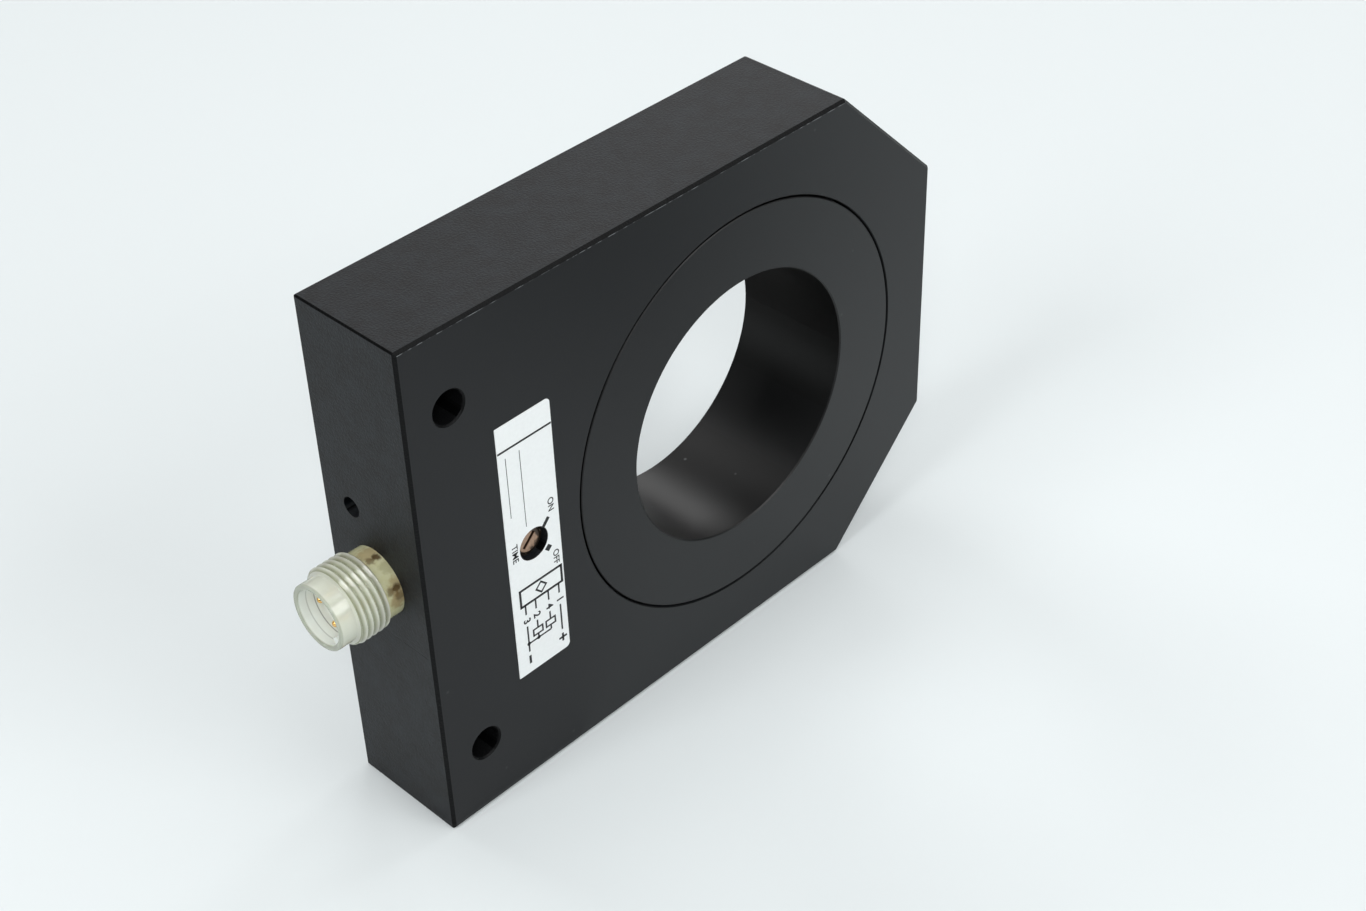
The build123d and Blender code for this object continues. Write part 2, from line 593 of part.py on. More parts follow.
def make_trimmer():
    """Turned trimmer: case, rotor with its slot, wiper, resistance track and three leads."""
    half = TRIMMER_BODY / 2
    case = block(
        (TRIMMER_X - half, TRIMMER_X + half),
        (TRIMMER_TOP_Y, BOARD_FRONT_Y),
        (-half, half),
    )
    case = chamfer(case.edges().filter_by(Axis.Y), TRIMMER_CORNER)
    case += disc(COLLAR_RADIUS, COLLAR_Y, TRIMMER_TOP_Y + TRIMMER_TOP / 2, TRIMMER_X)
    case -= disc(ROTOR_RADIUS + ROTOR_FIT, FRONT_Y, CHAMBER_TOP_Y + ROTOR_FIT, TRIMMER_X)
    case -= disc(LIP_RADIUS + ROTOR_FIT, CHAMBER_TOP_Y, TRACK_Y + ROTOR_FIT, TRIMMER_X)
    hollow = half - TRIMMER_WALL
    case -= block(
        (TRIMMER_X - hollow, TRIMMER_X + hollow),
        (TRACK_Y, BOARD_FRONT_Y + CUT_PAST),
        (-hollow, hollow),
    )

    rotor = disc(ROTOR_RADIUS, ROTOR_Y, LIP_TOP_Y + ROTOR_FIT, TRIMMER_X)
    rotor = chamfer(rotor.faces().sort_by(Axis.Y)[0].edges(), ROTOR_EDGE)
    rotor += disc(LIP_RADIUS, LIP_TOP_Y, LIP_BACK_Y, TRIMMER_X)
    slot = Box(SLOT_LENGTH, 2 * SLOT_DEPTH, SLOT_WIDTH)
    rotor -= Pos(TRIMMER_X, ROTOR_Y, 0) * Rot(0, -SLOT_ANGLE, 0) * slot

    wiper_radius = LIP_RADIUS - WIPER_SETBACK
    dimple_y = LIP_BACK_Y + WIPER_THICKNESS
    wiper = disc(wiper_radius, LIP_BACK_Y, dimple_y, TRIMMER_X)
    for side in (-1, 1):
        x = TRIMMER_X + side * (wiper_radius - WIPER_DIMPLE_INSET)
        wiper += disc(WIPER_DIMPLE_DIAMETER / 2, dimple_y, dimple_y + WIPER_DIMPLE, x)

    plate = hollow - ROTOR_FIT
    track = block(
        (TRIMMER_X - plate, TRIMMER_X + plate),
        (TRACK_Y, TRACK_BACK_Y),
        (-plate, plate),
    )
    pieces = {
        "trimmer_case": case,
        "trimmer_rotor": rotor,
        "trimmer_wiper": wiper,
        "trimmer_track": track,
    }
    lead_end = BOARD_BACK_Y + LEAD_STAND
    for number, (x, z) in enumerate(TRIMMER_LEADS, start=1):
        lead = disc(TRIMMER_LEAD_DIAMETER / 2, TRACK_BACK_Y, lead_end, TRIMMER_X + x, z)
        pieces[f"trimmer_lead_{number}"] = lead
    return pieces


def make_plug():
    """Clear threaded plug body with its key, the four contact pins and their wires to the board."""
    thread = PLUG_THREAD_DIAMETER / 2
    nose = PLUG_NOSE_DIAMETER / 2
    neck = PLUG_NECK_DIAMETER / 2
    spigot = PLUG_SPIGOT_DIAMETER / 2
    socket = PLUG_SOCKET_DIAMETER / 2
    run_in = thread - nose
    outline = [
        (RIM_X, socket + PLUG_MOUTH_CHAMFER),
        (RIM_X, nose - PLUG_RIM_EDGE),
        (RIM_X + PLUG_RIM_EDGE, nose),
        (THREAD_FRONT_X, nose),
        (THREAD_FRONT_X + run_in / 2, thread),
        (THREAD_BACK_X - (thread - neck) / 2, thread),
        (THREAD_BACK_X, neck),
        (SEAT_X, neck),
        (SEAT_X, spigot),
        (SPIGOT_BACK_X, spigot),
        (SPIGOT_BACK_X, 0),
        (SOCKET_FLOOR_X, 0),
        (SOCKET_FLOOR_X, socket),
        (RIM_X + PLUG_MOUTH_CHAMFER, socket),
    ]
    body = turned(outline, Axis.X)
    key_low = RIM_X + KEY_SETBACK
    key_high = SOCKET_FLOOR_X + CUT_PAST
    key = Box(key_high - key_low, KEY_HEIGHT + KEY_ROOT, KEY_WIDTH)
    key = Pos((key_low + key_high) / 2, socket - (KEY_HEIGHT - KEY_ROOT) / 2, 0) * key
    body += Rot(KEY_ANGLE, 0, 0) * key

    pieces = {}
    for number, (turn, y, z) in enumerate(pin_places(), start=1):
        body -= rod(PIN_DIAMETER / 2 + PIN_FIT, SOCKET_FLOOR_X - PIN_FIT, SPIGOT_BACK_X + CUT_PAST, y, z)
        pin = rod(PIN_DIAMETER / 2, PIN_TIP_X, PIN_BACK_X, y, z)
        pin = fillet(pin.faces().sort_by(Axis.X)[0].edges(), PIN_TIP_RADIUS)
        pieces[f"contact_pin_{number}"] = pin
        if turn == 0:
            end = (WIRE_REAR_X, BOARD_FRONT_Y - WIRE_END, z)
            route = [(PIN_BACK_X, y, z), (WIRE_REAR_X, y, z), end]
        elif turn == 180:
            end = (WIRE_HOLE_X, BOARD_BACK_Y + WIRE_END, z)
            route = [(PIN_BACK_X, y, z), (WIRE_HOLE_X, y, z), end]
        else:
            far_z = math.copysign(WIRE_SPREAD, z)
            lift = BOARD_FRONT_Y - WIRE_LIFT
            end = (WIRE_HOLE_X, BOARD_BACK_Y + WIRE_END, far_z)
            knee = (PIN_BACK_X + WIRE_KNEE, y, z)
            route = [(PIN_BACK_X, y, z), knee, (WIRE_HOLE_X, lift, far_z), end]
        pieces[f"lead_wire_{number}"] = wire(route, WIRE_DIAMETER, WIRE_BEND)
    pieces["plug_body"] = body
    return pieces


def make_lamps():
    """Two round indicator lamps that look out through the end wall, each with two bent legs."""
    pieces = {}
    radius = LAMP_DIAMETER / 2
    for number, z in enumerate(lamp_places(), start=1):
        lens = Pos(LAMP_TIP_X + radius, LAMP_Y, z) * Sphere(radius)
        lens += rod(radius, LAMP_TIP_X + radius, LAMP_BACK_X, LAMP_Y, z)
        lens += rod(LAMP_FLANGE_DIAMETER / 2, LAMP_BACK_X - LAMP_FLANGE_LENGTH, LAMP_BACK_X, LAMP_Y, z)
        pieces[f"lamp_{number}"] = lens
        for leg, side in enumerate((1, -1), start=1):
            leg_z = z + side * LAMP_LEG_PITCH / 2
            route = [
                (LAMP_BACK_X, LAMP_Y, leg_z),
                (LAMP_HOLE_X, LAMP_Y, leg_z),
                (LAMP_HOLE_X, BOARD_FRONT_Y - LEAD_STAND, leg_z),
            ]
            pieces[f"lamp_{number}_leg_{leg}"] = wire(route, LAMP_LEG_DIAMETER, WIRE_BEND)
    return pieces


def make_components():
    """The surface-mounted components on both sides of the board."""
    x = TRIMMER_X
    outer = BOARD_HALF - OUTER_INSET
    chip_z = outer - CHIP_STEP
    transistor_z = outer - TRANSISTOR_STEP
    diode_x = x - DIODE_STEP
    inner_x, inner_z = RESISTOR_INNER
    middle_x, middle_z = RESISTOR_MIDDLE
    transistor = power_package(TRANSISTOR_SIZE, TRANSISTOR_SPAN, TRANSISTOR_PITCH, TRANSISTOR_TAB)
    regulator = power_package(REGULATOR_SIZE, REGULATOR_SPAN, REGULATOR_PITCH, REGULATOR_TAB)
    return {
        "oscillator_chip": on_front(small_chip(), x, chip_z, 90),
        "delay_chip": on_front(small_chip(), x, -chip_z, 90),
        "resonance_capacitor": on_front(film_capacitor(), x, outer),
        "delay_capacitor": on_front(tantalum_capacitor(), x, -outer),
        "output_transistor_1": on_back(transistor, x, transistor_z),
        "output_transistor_2": on_back(transistor, x, -transistor_z, 180),
        "voltage_regulator": on_back(regulator, x, outer),
        "supply_capacitor": on_back(can_capacitor(), x, -outer),
        "polarity_diode": on_back(power_diode(), diode_x, outer, 90),
        "surge_diode": on_back(power_diode(), diode_x, -outer, 90),
        "resistor_1": on_back(chip_resistor(), x - inner_x, inner_z, 90),
        "resistor_2": on_back(chip_resistor(), x - inner_x, -inner_z, 90),
        "resistor_3": on_front(chip_resistor(), x - middle_x, middle_z, 90),
        "resistor_4": on_front(chip_resistor(), x - middle_x, -middle_z, 90),
        "resistor_5": on_front(chip_resistor(), x - middle_x, outer, 90),
        "resistor_6": on_front(chip_resistor(), x - middle_x, -outer, 90),
    }


def make_sensor():
    """Every node of the sensor, by name."""
    nodes = {
        "housing": make_housing(),
        "coil_former": make_coil_former(),
        "rear_cover": make_cover(),
        "label": make_label(),
        "circuit_board": make_board(),
    }
    nodes.update(make_coil())
    nodes.update(make_trimmer())
    nodes.update(make_plug())
    nodes.update(make_lamps())
    nodes.update(make_components())
    return nodes


os.makedirs("parts", exist_ok=True)
for name, solid in make_sensor().items():
    export_step(solid, f"parts/{name}.step")
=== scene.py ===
import json
import logging
import math
from collections.abc import Callable, Iterable
from dataclasses import dataclass, field
from enum import IntEnum
from typing import ClassVar, Protocol

import bmesh
import bpy
from mathutils import Matrix, Vector


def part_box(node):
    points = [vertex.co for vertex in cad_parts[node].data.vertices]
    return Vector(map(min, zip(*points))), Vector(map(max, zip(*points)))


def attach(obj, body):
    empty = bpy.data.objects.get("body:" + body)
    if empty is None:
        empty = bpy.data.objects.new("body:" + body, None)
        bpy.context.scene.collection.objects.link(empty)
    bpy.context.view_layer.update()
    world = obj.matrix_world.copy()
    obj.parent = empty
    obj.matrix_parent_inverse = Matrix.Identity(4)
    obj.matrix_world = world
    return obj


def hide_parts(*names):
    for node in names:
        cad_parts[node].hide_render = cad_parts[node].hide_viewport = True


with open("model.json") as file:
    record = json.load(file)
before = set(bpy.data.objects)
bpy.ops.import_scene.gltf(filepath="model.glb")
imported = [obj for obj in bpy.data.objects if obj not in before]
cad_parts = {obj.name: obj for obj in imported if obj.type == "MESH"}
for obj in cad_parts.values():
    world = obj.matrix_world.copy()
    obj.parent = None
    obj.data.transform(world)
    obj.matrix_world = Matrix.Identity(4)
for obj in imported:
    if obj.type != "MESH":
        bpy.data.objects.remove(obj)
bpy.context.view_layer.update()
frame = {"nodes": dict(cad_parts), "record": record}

# The looks of an inductive ring sensor. Everything is in metres in the part's own frame:
# X runs along the block with the plug at -X, the label faces -Y, and Z is up.

MM = 0.001
BLOCK_BODY = "block"
HALF_SQUARE = math.sqrt(0.5)
NUMBER = "NodeSocketFloat"
VECTOR = "NodeSocketVector"
SOLID = "NodeSocketGeometry"
MOUNTING_HOLE_FROM_END = 7.5 * MM
MOUNTING_HOLE_HEIGHTS = (-30 * MM, 30 * MM)
# How far round each mounting hole the walls get painted shade.
MOUNTING_HOLE_SHADE_REACH = 3 * MM
SLACK = 0.01 * MM
LOG = logging.getLogger("ring_sensor")

Colour = tuple[float, float, float]
Point = tuple[float, float]
Place = tuple[float, float, float]


def shade(red: float, green: float, blue: float) -> Colour:
    """A colour given in display values from 0 to 255, as linear light.

    Args:
        red: the red display value.
        green: the green display value.
        blue: the blue display value.

    Returns:
        The three linear values.
    """
    shares = (value / 255 for value in (red, green, blue))
    return tuple(s / 12.92 if s <= 0.04045 else ((s + 0.055) / 1.055) ** 2.4 for s in shares)


def scaled(colour: Colour, share: float) -> Colour:
    """A colour made darker or paler by one share."""
    return tuple(value * share for value in colour)


# Node trees


@dataclass
class Wiring:
    """Adds and links the nodes of one tree."""

    tree: bpy.types.NodeTree

    def add(self, kind: str, **settings: object) -> bpy.types.Node:
        """Adds a node.

        Args:
            kind: the node's type name.
            settings: attributes to set on it.

        Returns:
            The new node.
        """
        node = self.tree.nodes.new(kind)
        for name, value in settings.items():
            setattr(node, name, value)
        return node

    def feed(self, socket: bpy.types.NodeSocket, value: object) -> None:
        """Links an output into an input, or sets the input's value.

        Args:
            socket: the input to fill.
            value: an output socket, a number or a row of numbers.
        """
        if isinstance(value, bpy.types.NodeSocket):
            self.tree.links.new(value, socket)
        elif socket.type == "RGBA" and len(value) == 3:
            socket.default_value = (*value, 1.0)
        else:
            socket.default_value = value

    @staticmethod
    def result(node: bpy.types.Node) -> bpy.types.NodeSocket:
        """The node's first output that is in use."""
        return next(socket for socket in node.outputs if socket.enabled)

    def calc(self, operation: str, *values: object, vector: bool = False) -> bpy.types.NodeSocket:
        """Adds a Math or Vector Math node.

        Args:
            operation: the node's operation.
            values: its inputs, each a number, a row of numbers or a socket.
            vector: whether it is the vector kind.

        Returns:
            The result socket.
        """
        node = self.add("ShaderNodeVectorMath" if vector else "ShaderNodeMath", operation=operation)
        for socket, value in zip(node.inputs, values):
            self.feed(socket, value)
        return self.result(node)

    def ramp(self, value: object, low: object, high: object) -> bpy.types.NodeSocket:
        """A smooth mask that is 0 at low and 1 at high.

        Args:
            value: the number that is measured.
            low: where the mask is 0.
            high: where the mask is 1.

        Returns:
            The mask socket.
        """
        node = self.add("ShaderNodeMapRange", interpolation_type="SMOOTHSTEP", clamp=True)
        for name, given in (("Value", value), ("From Min", low), ("From Max", high)):
            self.feed(node.inputs[name], given)
        return self.result(node)

    def tint(self, share: object, first: object, second: object) -> bpy.types.NodeSocket:
        """Mixes two colours.

        Args:
            share: how much of the second colour shows.
            first: the colour at 0.
            second: the colour at 1.

        Returns:
            The mixed colour socket.
        """
        node = self.add("ShaderNodeMix", data_type="RGBA")
        sockets = [socket for socket in node.inputs if socket.enabled]
        for socket, value in zip(sockets, (share, first, second)):
            self.feed(socket, value)
        return self.result(node)

    def noise(self, where: object, scale: object, detail: float = 2.0) -> bpy.types.NodeSocket:
        """A noise value between 0 and 1.

        Args:
            where: the coordinates.
            scale: how many features a metre has.
            detail: how many finer layers are added.

        Returns:
            The noise value's socket.
        """
        node = self.add("ShaderNodeTexNoise")
        self.feed(node.inputs["Vector"], where)
        self.feed(node.inputs["Scale"], scale)
        node.inputs["Detail"].default_value = detail
        return node.outputs["Fac"]


def open_group(
    name: str,
    kind: str,
    inputs: dict[str, tuple[str, object]],
    outputs: dict[str, str],
) -> tuple[Wiring, bpy.types.Node, bpy.types.Node]:
    """Starts a node group with named sockets.

    Args:
        name: the group's name.
        kind: its tree type.
        inputs: each input's socket type and default, or None for no default.
        outputs: each output's socket type.

    Returns:
        The wiring of the group, its input node and its output node.
    """
    tree = bpy.data.node_groups.new(name, kind)
    for label, (socket_type, default) in inputs.items():
        socket = tree.interface.new_socket(label, in_out="INPUT", socket_type=socket_type)
        if default is not None:
            socket.default_value = default
    for label, socket_type in outputs.items():
        tree.interface.new_socket(label, in_out="OUTPUT", socket_type=socket_type)
    wiring = Wiring(tree)
    return wiring, wiring.add("NodeGroupInput"), wiring.add("NodeGroupOutput")


def grain_group() -> bpy.types.NodeTree:
    """The fine grain of a surface: its height, its slow change of tone and its pale specks.

    Returns:
        The node group.
    """
    inputs = {
        "Vector": (VECTOR, None),
        "Grain": (NUMBER, 2600.0),
        "Cloud": (NUMBER, 260.0),
        "Speck Spacing": (NUMBER, 500.0),
        "Speck Share": (NUMBER, 0.0),
    }
    outputs = {"Height": NUMBER, "Tone": NUMBER, "Speck": NUMBER}
    fine_share = 0.6
    dot_radii = (0.16, 0.04)
    wiring, given, made = open_group("surface_grain", "ShaderNodeTree", inputs, outputs)
    where = given.outputs["Vector"]
    fine = wiring.noise(where, given.outputs["Grain"], 3.0)
    cloud = wiring.noise(where, given.outputs["Cloud"], 2.0)
    cells = wiring.add("ShaderNodeTexVoronoi", feature="F1")
    wiring.feed(cells.inputs["Vector"], where)
    wiring.feed(cells.inputs["Scale"], given.outputs["Speck Spacing"])
    drawn = wiring.add("ShaderNodeSeparateColor")
    wiring.feed(drawn.inputs["Color"], cells.outputs["Color"])
    rare = wiring.calc("LESS_THAN", drawn.outputs["Red"], given.outputs["Speck Share"])
    dot = wiring.ramp(cells.outputs["Distance"], *dot_radii)
    slow = wiring.calc("MULTIPLY", cloud, 1.0 - fine_share)
    tone = wiring.calc("ADD", wiring.calc("MULTIPLY", fine, fine_share), slow)
    wiring.feed(made.inputs["Height"], fine)
    wiring.feed(made.inputs["Tone"], tone)
    wiring.feed(made.inputs["Speck"], wiring.calc("MULTIPLY", rare, dot))
    return wiring.tree


def blot_group() -> bpy.types.NodeTree:
    """One soft-edged spot of uneven outline: 1 inside it and 0 away from it.

    Returns:
        The node group.
    """
    inputs = {
        "Vector": (VECTOR, None),
        "Centre": (VECTOR, None),
        "Radius": (NUMBER, MM),
        "Unevenness": (NUMBER, 0.5),
    }
    outline_scale = 1400.0
    soft_edge = (1.1, 0.45)
    wiring, given, made = open_group("blot", "ShaderNodeTree", inputs, {"Mask": NUMBER})
    where = given.outputs["Vector"]
    away = wiring.calc("SUBTRACT", where, given.outputs["Centre"], vector=True)
    length = wiring.calc("LENGTH", away, vector=True)
    wobble = wiring.calc("SUBTRACT", wiring.noise(where, outline_scale), 0.5)
    share = wiring.calc("DIVIDE", length, given.outputs["Radius"])
    share = wiring.calc("MULTIPLY_ADD", wobble, given.outputs["Unevenness"], share)
    wiring.feed(made.inputs["Mask"], wiring.ramp(share, *soft_edge))
    return wiring.tree


@dataclass
class Dye(Wiring):
    """The node tree of one material, with its shader and its coordinates at hand."""

    material: bpy.types.Material | None = None
    shader: bpy.types.Node | None = None
    place: bpy.types.NodeSocket | None = None

    @classmethod
    def start(cls, name: str, **plain: float) -> "Dye":
        """Opens a new material.

        Args:
            name: the material's name.
            plain: constants for the shader's own sockets, with underscores for spaces.

        Returns:
            The opened tree.
        """
        material = bpy.data.materials.new(name)
        material.use_nodes = True
        tree = material.node_tree
        dye = cls(tree, material=material, shader=tree.nodes["Principled BSDF"])
        dye.place = dye.add("ShaderNodeTexCoord").outputs["Object"]
        for label, value in plain.items():
            dye.set(label.replace("_", " "), value)
        return dye

    def set(self, label: str, value: object) -> None:
        """Sets or links one of the shader's inputs."""
        self.feed(self.shader.inputs[label], value)

    def use(self, group: bpy.types.NodeTree, **values: object) -> bpy.types.Node:
        """Places a group in the material.

        Args:
            group: the node group.
            values: its inputs, with underscores for spaces.

        Returns:
            The group node.
        """
        node = self.add("ShaderNodeGroup", node_tree=group)
        self.feed(node.inputs["Vector"], self.place)
        for label, value in values.items():
            self.feed(node.inputs[label.replace("_", " ")], value)
        return node

    def clouded(
        self,
        grain: bpy.types.Node,
        deep: Colour,
        colour: Colour,
        reach: float = 0.2,
    ) -> bpy.types.NodeSocket:
        """A colour that wanders between two with the tone of the grain.

        Args:
            grain: the grain group's node.
            deep: the darker colour.
            colour: the paler colour.
            reach: how far from the middle tone each colour is reached.

        Returns:
            The colour socket.
        """
        tone = self.ramp(grain.outputs["Tone"], 0.5 - reach, 0.5 + reach)
        return self.tint(tone, deep, colour)

    def roughen(self, grain: bpy.types.Node, roughness: float, spread: float) -> None:
        """Sets a roughness that wanders with the tone of the grain.

        Args:
            grain: the grain group's node.
            roughness: the middle roughness.
            spread: the difference between the roughest and the smoothest place.
        """
        varied = self.calc("MULTIPLY_ADD", grain.outputs["Tone"], spread, roughness - spread / 2)
        self.set("Roughness", varied)

    def bump(self, height: bpy.types.NodeSocket, depth: float, strength: object = 1.0) -> None:
        """Raises the surface by a height between 0 and 1.

        Args:
            height: the height.
            depth: how far 1 stands above 0, in metres.
            strength: a share that fades it.
        """
        node = self.add("ShaderNodeBump")
        node.inputs["Distance"].default_value = depth
        self.feed(node.inputs["Strength"], strength)
        self.feed(node.inputs["Height"], height)
        self.set("Normal", node.outputs["Normal"])

    def place_along(self, axis: str) -> bpy.types.NodeSocket:
        """The place along one axis of the part's frame.

        Args:
            axis: X, Y or Z.

        Returns:
            The socket with the distance in metres.
        """
        node = self.add("ShaderNodeSeparateXYZ")
        self.feed(node.inputs[0], self.place)
        return node.outputs[axis]

    def facing(self, x: float, y: float, z: float) -> bpy.types.NodeSocket:
        """How squarely the surface faces a direction, where 1 is fully."""
        geometry = self.add("ShaderNodeNewGeometry")
        return self.calc("DOT_PRODUCT", geometry.outputs["True Normal"], (x, y, z), vector=True)


Groups = dict[str, bpy.types.NodeTree]


class Finish(Protocol):
    """What every finish can do."""

    def material(self, groups: Groups) -> bpy.types.Material:
        """Builds the material with the shared node groups."""


# Finishes


@dataclass(frozen=True)
class BlockPlastic:
    """Black plastic: smooth in front and finely grained elsewhere, with pale specks; painted shade makes
    its bevels and the walls of its mounting holes near black.
    """

    name: str
    smooth: Colour
    grained: Colour
    # the near-black colour painted on the bevels and hole walls as shade
    bevel: Colour = shade(10, 11, 12)
    speck: Colour = shade(120, 124, 124)
    smooth_roughness: float = 0.37
    grained_roughness: float = 0.6
    bevel_roughness: float = 0.4
    # painted dark reflection: how metallic the near-black bevels are made, so that they reflect little
    bevel_dark_reflection: float = 0.0
    gloss: float = 0.37
    grain_depth: float = 0.08 * MM
    grain_dip: float = 2.0
    grain_shares: Point = (0.9, 0.1)
    speck_shares: Point = (0.4, 0.1)
    front_span: Point = (0.9, 0.97)
    bevel_span: Point = (0.12, 0.05)
    upper_span: Point = (0.95, 0.98)
    tone_span: Point = (0.32, 0.68)
    grained_spread: Point = (0.2, 2.4)
    smooth_spread: Point = (0.96, 1.04)
    line: "FineLines | None" = None
    holes: tuple[Place, ...] = ()

    def bevels(self, dye: Dye, square: bpy.types.NodeSocket) -> bpy.types.NodeSocket:
        """The mask of the front bevels and of the bevel between the end and the top.

        Args:
            dye: the material's tree.
            square: how squarely the surface faces the front.

        Returns:
            The mask socket.
        """
        off = dye.calc("ABSOLUTE", dye.calc("SUBTRACT", square, HALF_SQUARE))
        upper = dye.facing(-HALF_SQUARE, 0.0, HALF_SQUARE)
        return dye.calc("MAXIMUM", dye.ramp(off, *self.bevel_span), dye.ramp(upper, *self.upper_span))

    def dark(
        self,
        dye: Dye,
        bevel: bpy.types.NodeSocket,
        side: bpy.types.NodeSocket,
    ) -> bpy.types.NodeSocket:
        """The mask of the painted shade: the bevels together with the walls of the holes.

        Args:
            dye: the material's tree.
            bevel: the mask of the bevels.
            side: the mask of what doesn't face the front.

        Returns:
            The mask socket.
        """
        mask = bevel
        for x, z, radius in self.holes:
            away = dye.calc("SUBTRACT", dye.place, (x, 0.0, z), vector=True)
            flat = dye.calc("MULTIPLY", away, (1.0, 0.0, 1.0), vector=True)
            near = dye.calc("LESS_THAN", dye.calc("LENGTH", flat, vector=True), radius)
            mask = dye.calc("MAXIMUM", mask, dye.calc("MULTIPLY", side, near))
        return mask

    def material(self, groups: Groups) -> bpy.types.Material:
        """Builds the material.

        Args:
            groups: the shared node groups.

        Returns:
            The material.
        """
        dye = Dye.start(self.name, Specular_IOR_Level=self.gloss)
        grain = dye.use(groups["grain"], Grain=3200.0, Cloud=330.0, Speck_Spacing=450.0, Speck_Share=0.03)
        square = dye.facing(0.0, -1.0, 0.0)
        front = dye.ramp(square, *self.front_span)
        side = dye.calc("SUBTRACT", 1.0, front)
        bevel = self.bevels(dye, square)
        # Painted dark reflection: the bevels turn partly metallic with their near-black colour, which dims
        # what they reflect.
        dye.set("Metallic", dye.calc("MULTIPLY", bevel, self.bevel_dark_reflection))
        tone = dye.ramp(grain.outputs["Tone"], *self.tone_span)
        rough = dye.tint(tone, *(scaled(self.grained, share) for share in self.grained_spread))
        even = dye.tint(tone, *(scaled(self.smooth, share) for share in self.smooth_spread))
        colour = dye.tint(front, rough, even)
        shown = dye.calc("MULTIPLY_ADD", side, *self.speck_shares)
        speck = dye.calc("MULTIPLY", grain.outputs["Speck"], shown)
        colour = dye.tint(speck, colour, self.speck)
        height = grain.outputs["Height"]
        if self.line:
            witness = self.line.witness(dye)
            colour = dye.tint(witness, colour, self.line.dark)
            height = dye.calc("MULTIPLY_ADD", witness, -self.grain_dip, height)
            # Painted highlight: a pale broken line on the front face just below the top front bevel.
            colour = dye.tint(dye.calc("MULTIPLY", self.line.worn(dye), front), colour, self.line.pale)
        # Painted shade: the bevels and the walls of the mounting holes take the near-black bevel colour.
        dark = self.dark(dye, bevel, side)
        dye.set("Base Color", dye.tint(dark, colour, self.bevel))
        span = self.grained_roughness - self.smooth_roughness
        roughness = dye.calc("MULTIPLY_ADD", side, span, self.smooth_roughness)
        drop = dye.calc("MULTIPLY", dark, self.grained_roughness - self.bevel_roughness)
        dye.set("Roughness", dye.calc("SUBTRACT", roughness, drop))
        dye.bump(height, self.grain_depth, dye.calc("MULTIPLY_ADD", side, *self.grain_shares))
        return dye.material


@dataclass(frozen=True)
class FineLines:
    """The hairline on the end face, and a painted highlight: the pale broken line below the bevel of the
    top front edge, where that edge catches the light.
    """

    end_x: float
    front_y: float
    top_z: float
    bevel: float = 0.5 * MM
    height: float = -9.0 * MM
    start: float = 1.06 * MM
    length: float = 8.7 * MM
    half_width: float = 0.07 * MM
    strength: float = 0.85
    soft_start: float = 0.1 * MM
    end_skin: Point = (0.1 * MM, 0.05 * MM)
    highlight_width: float = 0.08 * MM
    patch_scale: float = 900.0
    patch_span: Point = (0.42, 0.66)
    dark: Colour = shade(1, 1, 1)
    # the colour of the painted highlight line
    pale: Colour = shade(120, 124, 126)

    def witness(self, dye: Dye) -> bpy.types.NodeSocket:
        """The hairline's mask.

        Args:
            dye: the material it is drawn in.

        Returns:
            The mask socket.
        """
        across = dye.calc("ABSOLUTE", dye.calc("SUBTRACT", dye.place_along("Z"), self.height))
        line = dye.ramp(across, 1.5 * self.half_width, 0.5 * self.half_width)
        on_end = dye.ramp(dye.place_along("X"), *(self.end_x + depth for depth in self.end_skin))
        along = dye.calc("SUBTRACT", dye.place_along("Y"), self.front_y + self.start)
        faint = dye.ramp(along, self.length, self.length / 2)
        started = dye.ramp(along, -self.soft_start, self.soft_start)
        drawn = dye.calc("MULTIPLY", line, on_end)
        whole = dye.calc("MULTIPLY", drawn, dye.calc("MULTIPLY", faint, started))
        return dye.calc("MULTIPLY", whole, self.strength)

    def worn(self, dye: Dye) -> bpy.types.NodeSocket:
        """The mask of the painted highlight line below the top front bevel.

        Args:
            dye: the material it is drawn in.

        Returns:
            The mask socket.
        """
        edge = self.top_z - self.bevel
        line = dye.ramp(dye.place_along("Z"), edge - self.highlight_width, edge)
        patches = dye.ramp(dye.noise(dye.place, self.patch_scale), *self.patch_span)
        return dye.calc("MULTIPLY", line, patches)


@dataclass(frozen=True)
class PlainFinish:
    """A moulded, metal or ceramic finish with a slow change of tone, a fine grain and perhaps specks; the
    lamp lens's white specks are painted highlights.
    """

    name: str
    colour: Colour
    deep: Colour
    roughness: float = 0.5
    metallic: float = 0.0
    cloud: float = 500.0
    roughness_spread: float = 0.12
    depth: float = 0.004 * MM
    specks: float = 0.0
    speck: Colour = (0.5, 0.5, 0.48)

    def material(self, groups: Groups) -> bpy.types.Material:
        """Builds the material.

        Args:
            groups: the shared node groups.

        Returns:
            The material.
        """
        dye = Dye.start(self.name, Metallic=self.metallic)
        grain = dye.use(groups["grain"], Cloud=self.cloud, Speck_Spacing=2600.0, Speck_Share=self.specks)
        colour = dye.clouded(grain, self.deep, self.colour)
        dye.set("Base Color", dye.tint(grain.outputs["Speck"], colour, self.speck))
        dye.roughen(grain, self.roughness, self.roughness_spread)
        dye.bump(grain.outputs["Height"], self.depth)
        return dye.material


